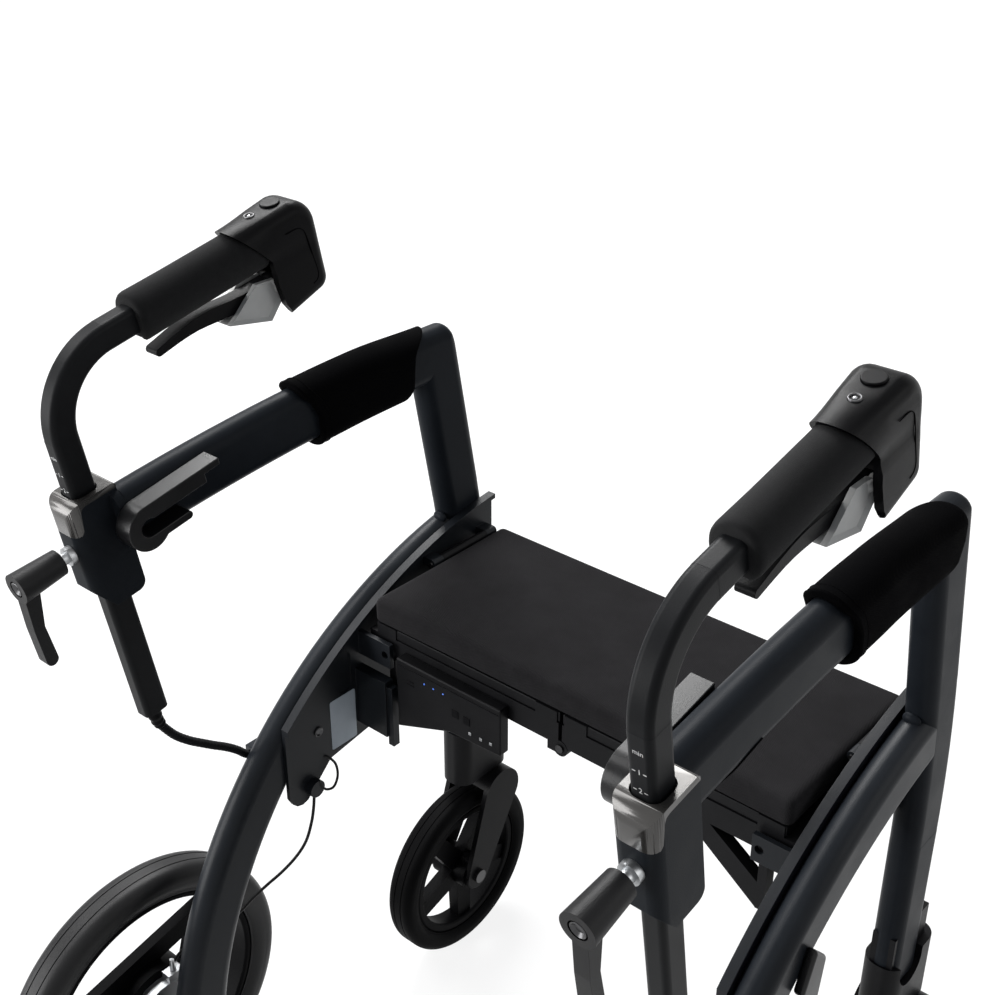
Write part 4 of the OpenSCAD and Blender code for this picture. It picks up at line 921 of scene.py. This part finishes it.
def smooth_route(points, per):
    pts = [Vector(p) for p in points]
    pts = [2 * pts[0] - pts[1]] + pts + [2 * pts[-1] - pts[-2]]
    route = []
    for i in range(1, len(pts) - 2):
        a, b, c, d = pts[i - 1:i + 3]
        for j in range(per):
            t = j / per
            route.append(0.5 * (2 * b + (c - a) * t + (2 * a - 5 * b + 4 * c - d) * t ** 2
                                + (3 * b - a - 3 * c + d) * t ** 3))
    return route + [pts[-2]]


def cable(route, radius, segments):
    sections = []
    for i, p in enumerate(route):
        ahead = route[min(i + 1, len(route) - 1)] - route[max(i - 1, 0)]
        turn = ahead.to_track_quat("Z", "X").to_matrix().to_4x4()
        r = radius(i) if callable(radius) else radius
        sections.append(Matrix.Translation(p) @ turn @ Matrix.Diagonal((r, r, 1, 1)))
    return lofted(sections, segments)


handle_route = laid_between(POST_FOOT, RAIL_SOCKET, HANDLE_SHARES)
brake_route = laid_between(PLATE_HOLE, HUB_HOLE, BRAKE_SHARES)
braid = woven("braided cable sleeve", (0.005, 0.005, 0.006), (0.008, 0.008, 0.009), 300, 0.0003, 0.06)
cable_skin = coated("cable skin", (0.005, 0.005, 0.005), (0.008, 0.008, 0.008),
                    (0.4, 0.5), 1500, 0.0001, gleam=0.12)
for side, mirrored in SIDES:
    bm = cable(smooth_route(handle_route, 5), lambda i: SLEEVE_RADIUS + BRAID_RIB * (i % 2), 16)
    bm.transform(FROM_MM)
    sleeve = settle(f"{side}_cable_sleeve", bm, None, braid, (f"{side}_handle_cable",),
                    mirrored=mirrored, angle=60, weighted=False)
    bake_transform(sleeve, f"{side}_frame", f"{side}_handle", start=(0, -0.051, 0.41), end=(0, -0.151, 0.52))
    bm = cable(smooth_route(handle_route[:3], 8),
               lambda i: RELIEF_RADIUS - RELIEF_TAPER * i + RELIEF_RIB * (i // 2 % 2), 20)
    bm.transform(FROM_MM)
    settle(f"{side}_strain_relief", bm, f"{side}_handle", soft_black,
           mirrored=mirrored, angle=60, weighted=False)
    bm = cable(smooth_route(brake_route, 5), BRAKE_CABLE_RADIUS, 12)
    bm.transform(FROM_MM)
    settle(f"{side}_brake_housing", bm, f"{side}_frame", cable_skin,
           (f"{side}_brake_cable",), mirrored=mirrored, angle=60, weighted=False)
    bm = bmesh.new()
    bmesh.ops.create_cone(bm, cap_ends=True, segments=20, radius1=FERRULE_WIDE, radius2=FERRULE_THIN,
                          depth=FERRULE_LENGTH, matrix=Matrix.Translation(FERRULE_PLACE))
    bm.transform(FROM_MM)
    settle(f"{side}_cable_ferrule", bm, f"{side}_frame", zinc, mirrored=mirrored)

# Panel joints on the housings
# Each cheek of a housing has a side cover of the same plastic that is clipped in.
# A thin dark joint line shows along its front edge.
PANEL = ((46, 5), (57, 4.5), (62.5, 2), (65.5, -4), (67.8, -24), (69.4, -40), (67, -46), (62, -48))
PANEL_LINE = 0.4
line_black = coated("panel joint", (0.0008, 0.0008, 0.0010), (0.0012, 0.0012, 0.0014),
                    (0.6, 0.7), 900, 0.00002, gleam=0.02)
for side, mirrored in SIDES:
    for n, x in enumerate((-HOUSING_HALF, HOUSING_HALF)):
        bm = cable(smooth_route([(x, y, z) for y, z in PANEL], 6), PANEL_LINE, 8)
        bm.transform(FROM_MM @ HOUSING)
        settle(f"{side}_panel_joint_{n}", bm, f"{side}_handle", line_black,
               mirrored=mirrored, angle=60, weighted=False)

# Joint line on the arms
# A painted cover runs from each clamp along the outer side of the arm.
# Its dark front edge shows on the tube.
ARM_EDGE = ((265.5, -194, 704.5), (269, -184, 708.5), (270.7, -174, 711.4), (272, -160, 716.5),
            (272.1, -146.5, 719.6))
ARM_LINE = 0.6
for side, mirrored in SIDES:
    bm = cable(smooth_route(ARM_EDGE, 6), ARM_LINE, 8)
    bm.transform(FROM_MM)
    settle(f"{side}_arm_joint", bm, f"{side}_frame", line_black,
           mirrored=mirrored, angle=60, weighted=False)

# Lamp lead on the plates
# A thin rubber lead leaves a round plug at the foot of each plate in a small loop
# and goes back into the plate.
LEAD_LOOP = ((233, -76, 374), (231, -70, 362), (230, -60, 359), (231, -53, 368), (234, -52, 380),
             (238, -57, 389), (241, -61, 391))
LEAD_RADIUS = 1.3
for side, mirrored in SIDES:
    bm = cable(smooth_route(LEAD_LOOP, 6), LEAD_RADIUS, 10)
    bm.transform(FROM_MM)
    settle(f"{side}_plug_lead", bm, f"{side}_frame", cable_skin,
           mirrored=mirrored, angle=60, weighted=False)

# Casters
# A moulded head closes the foot of each upright and holds the caster's stem, and a cast fork
# with two flat legs carries the front wheel on a bolt.
HEAD_ROUNDING, FORK_ROUNDING = 0.002, 0.0015
for side, mirrored in SIDES:
    rounded_copy(f"{side}_caster_head", HEAD_ROUNDING, black_plastic, 3)
    rounded_copy(f"{side}_caster_fork", FORK_ROUNDING, lever_black, 3)
    dress(f"{side}_front_axle", screw_black)

# Wheels
# Black nylon wheels, spoked in front and with three broad bars at the rear, with matt solid tyres in front
# and larger ribbed rubber tyres behind.
# The rear tyres' colour is several times lighter than the front tyres' as painted light, standing for the
# lamp light on their tops.
WHEEL_ROUNDING = 0.0012
wheel_nylon = coated("black wheel nylon", (0.0014, 0.0014, 0.0017), (0.0024, 0.0024, 0.0028),
                     (0.42, 0.55), 1300, 0.0002, gleam=0.03)
front_rubber = coated("solid tyre", (0.0012, 0.0012, 0.0014), (0.0020, 0.0020, 0.0023),
                      (0.5, 0.62), 1700, 0.0002, gleam=0.03)
# Painted light: this rear tyre colour is made lighter than the front tyre's to stand for the light the tyre
# tops catch.
rear_tyre_painted_light = coated("rear tyre, lightened as painted light", (0.0064, 0.0064, 0.0070), (0.0098, 0.0098, 0.0105),
                     (0.38, 0.5), 1700, 0.0002, gleam=0.18)
for side, mirrored in SIDES:
    rounded_copy(f"{side}_front_wheel", WHEEL_ROUNDING, wheel_nylon)
    rounded_copy(f"{side}_rear_wheel", WHEEL_ROUNDING, wheel_nylon)
    dress(f"{side}_front_tyre", front_rubber)
    dress(f"{side}_rear_tyre", rear_tyre_painted_light)
    dress(f"{side}_rear_axle", zinc)

# Accessory clip on the right rail
# A small hook of glossy black plastic, moulded in one piece,
# that is clipped to the outer face of the right rail beside the seat.
HOOK_SIDE = [(-43, 467), (-24.5, 448), (-31.5, 405), (-58, 430)]
HOOK_INNER, HOOK_OUTER, HOOK_ROUNDING = 271.5, 281, 3
bm = slab(HOOK_SIDE, HOOK_INNER, HOOK_OUTER)
round_edges(bm, list(bm.edges), HOOK_ROUNDING, 4)
bm.transform(FROM_MM)
settle("rail_clip", bm, "right_frame", clip_plastic)
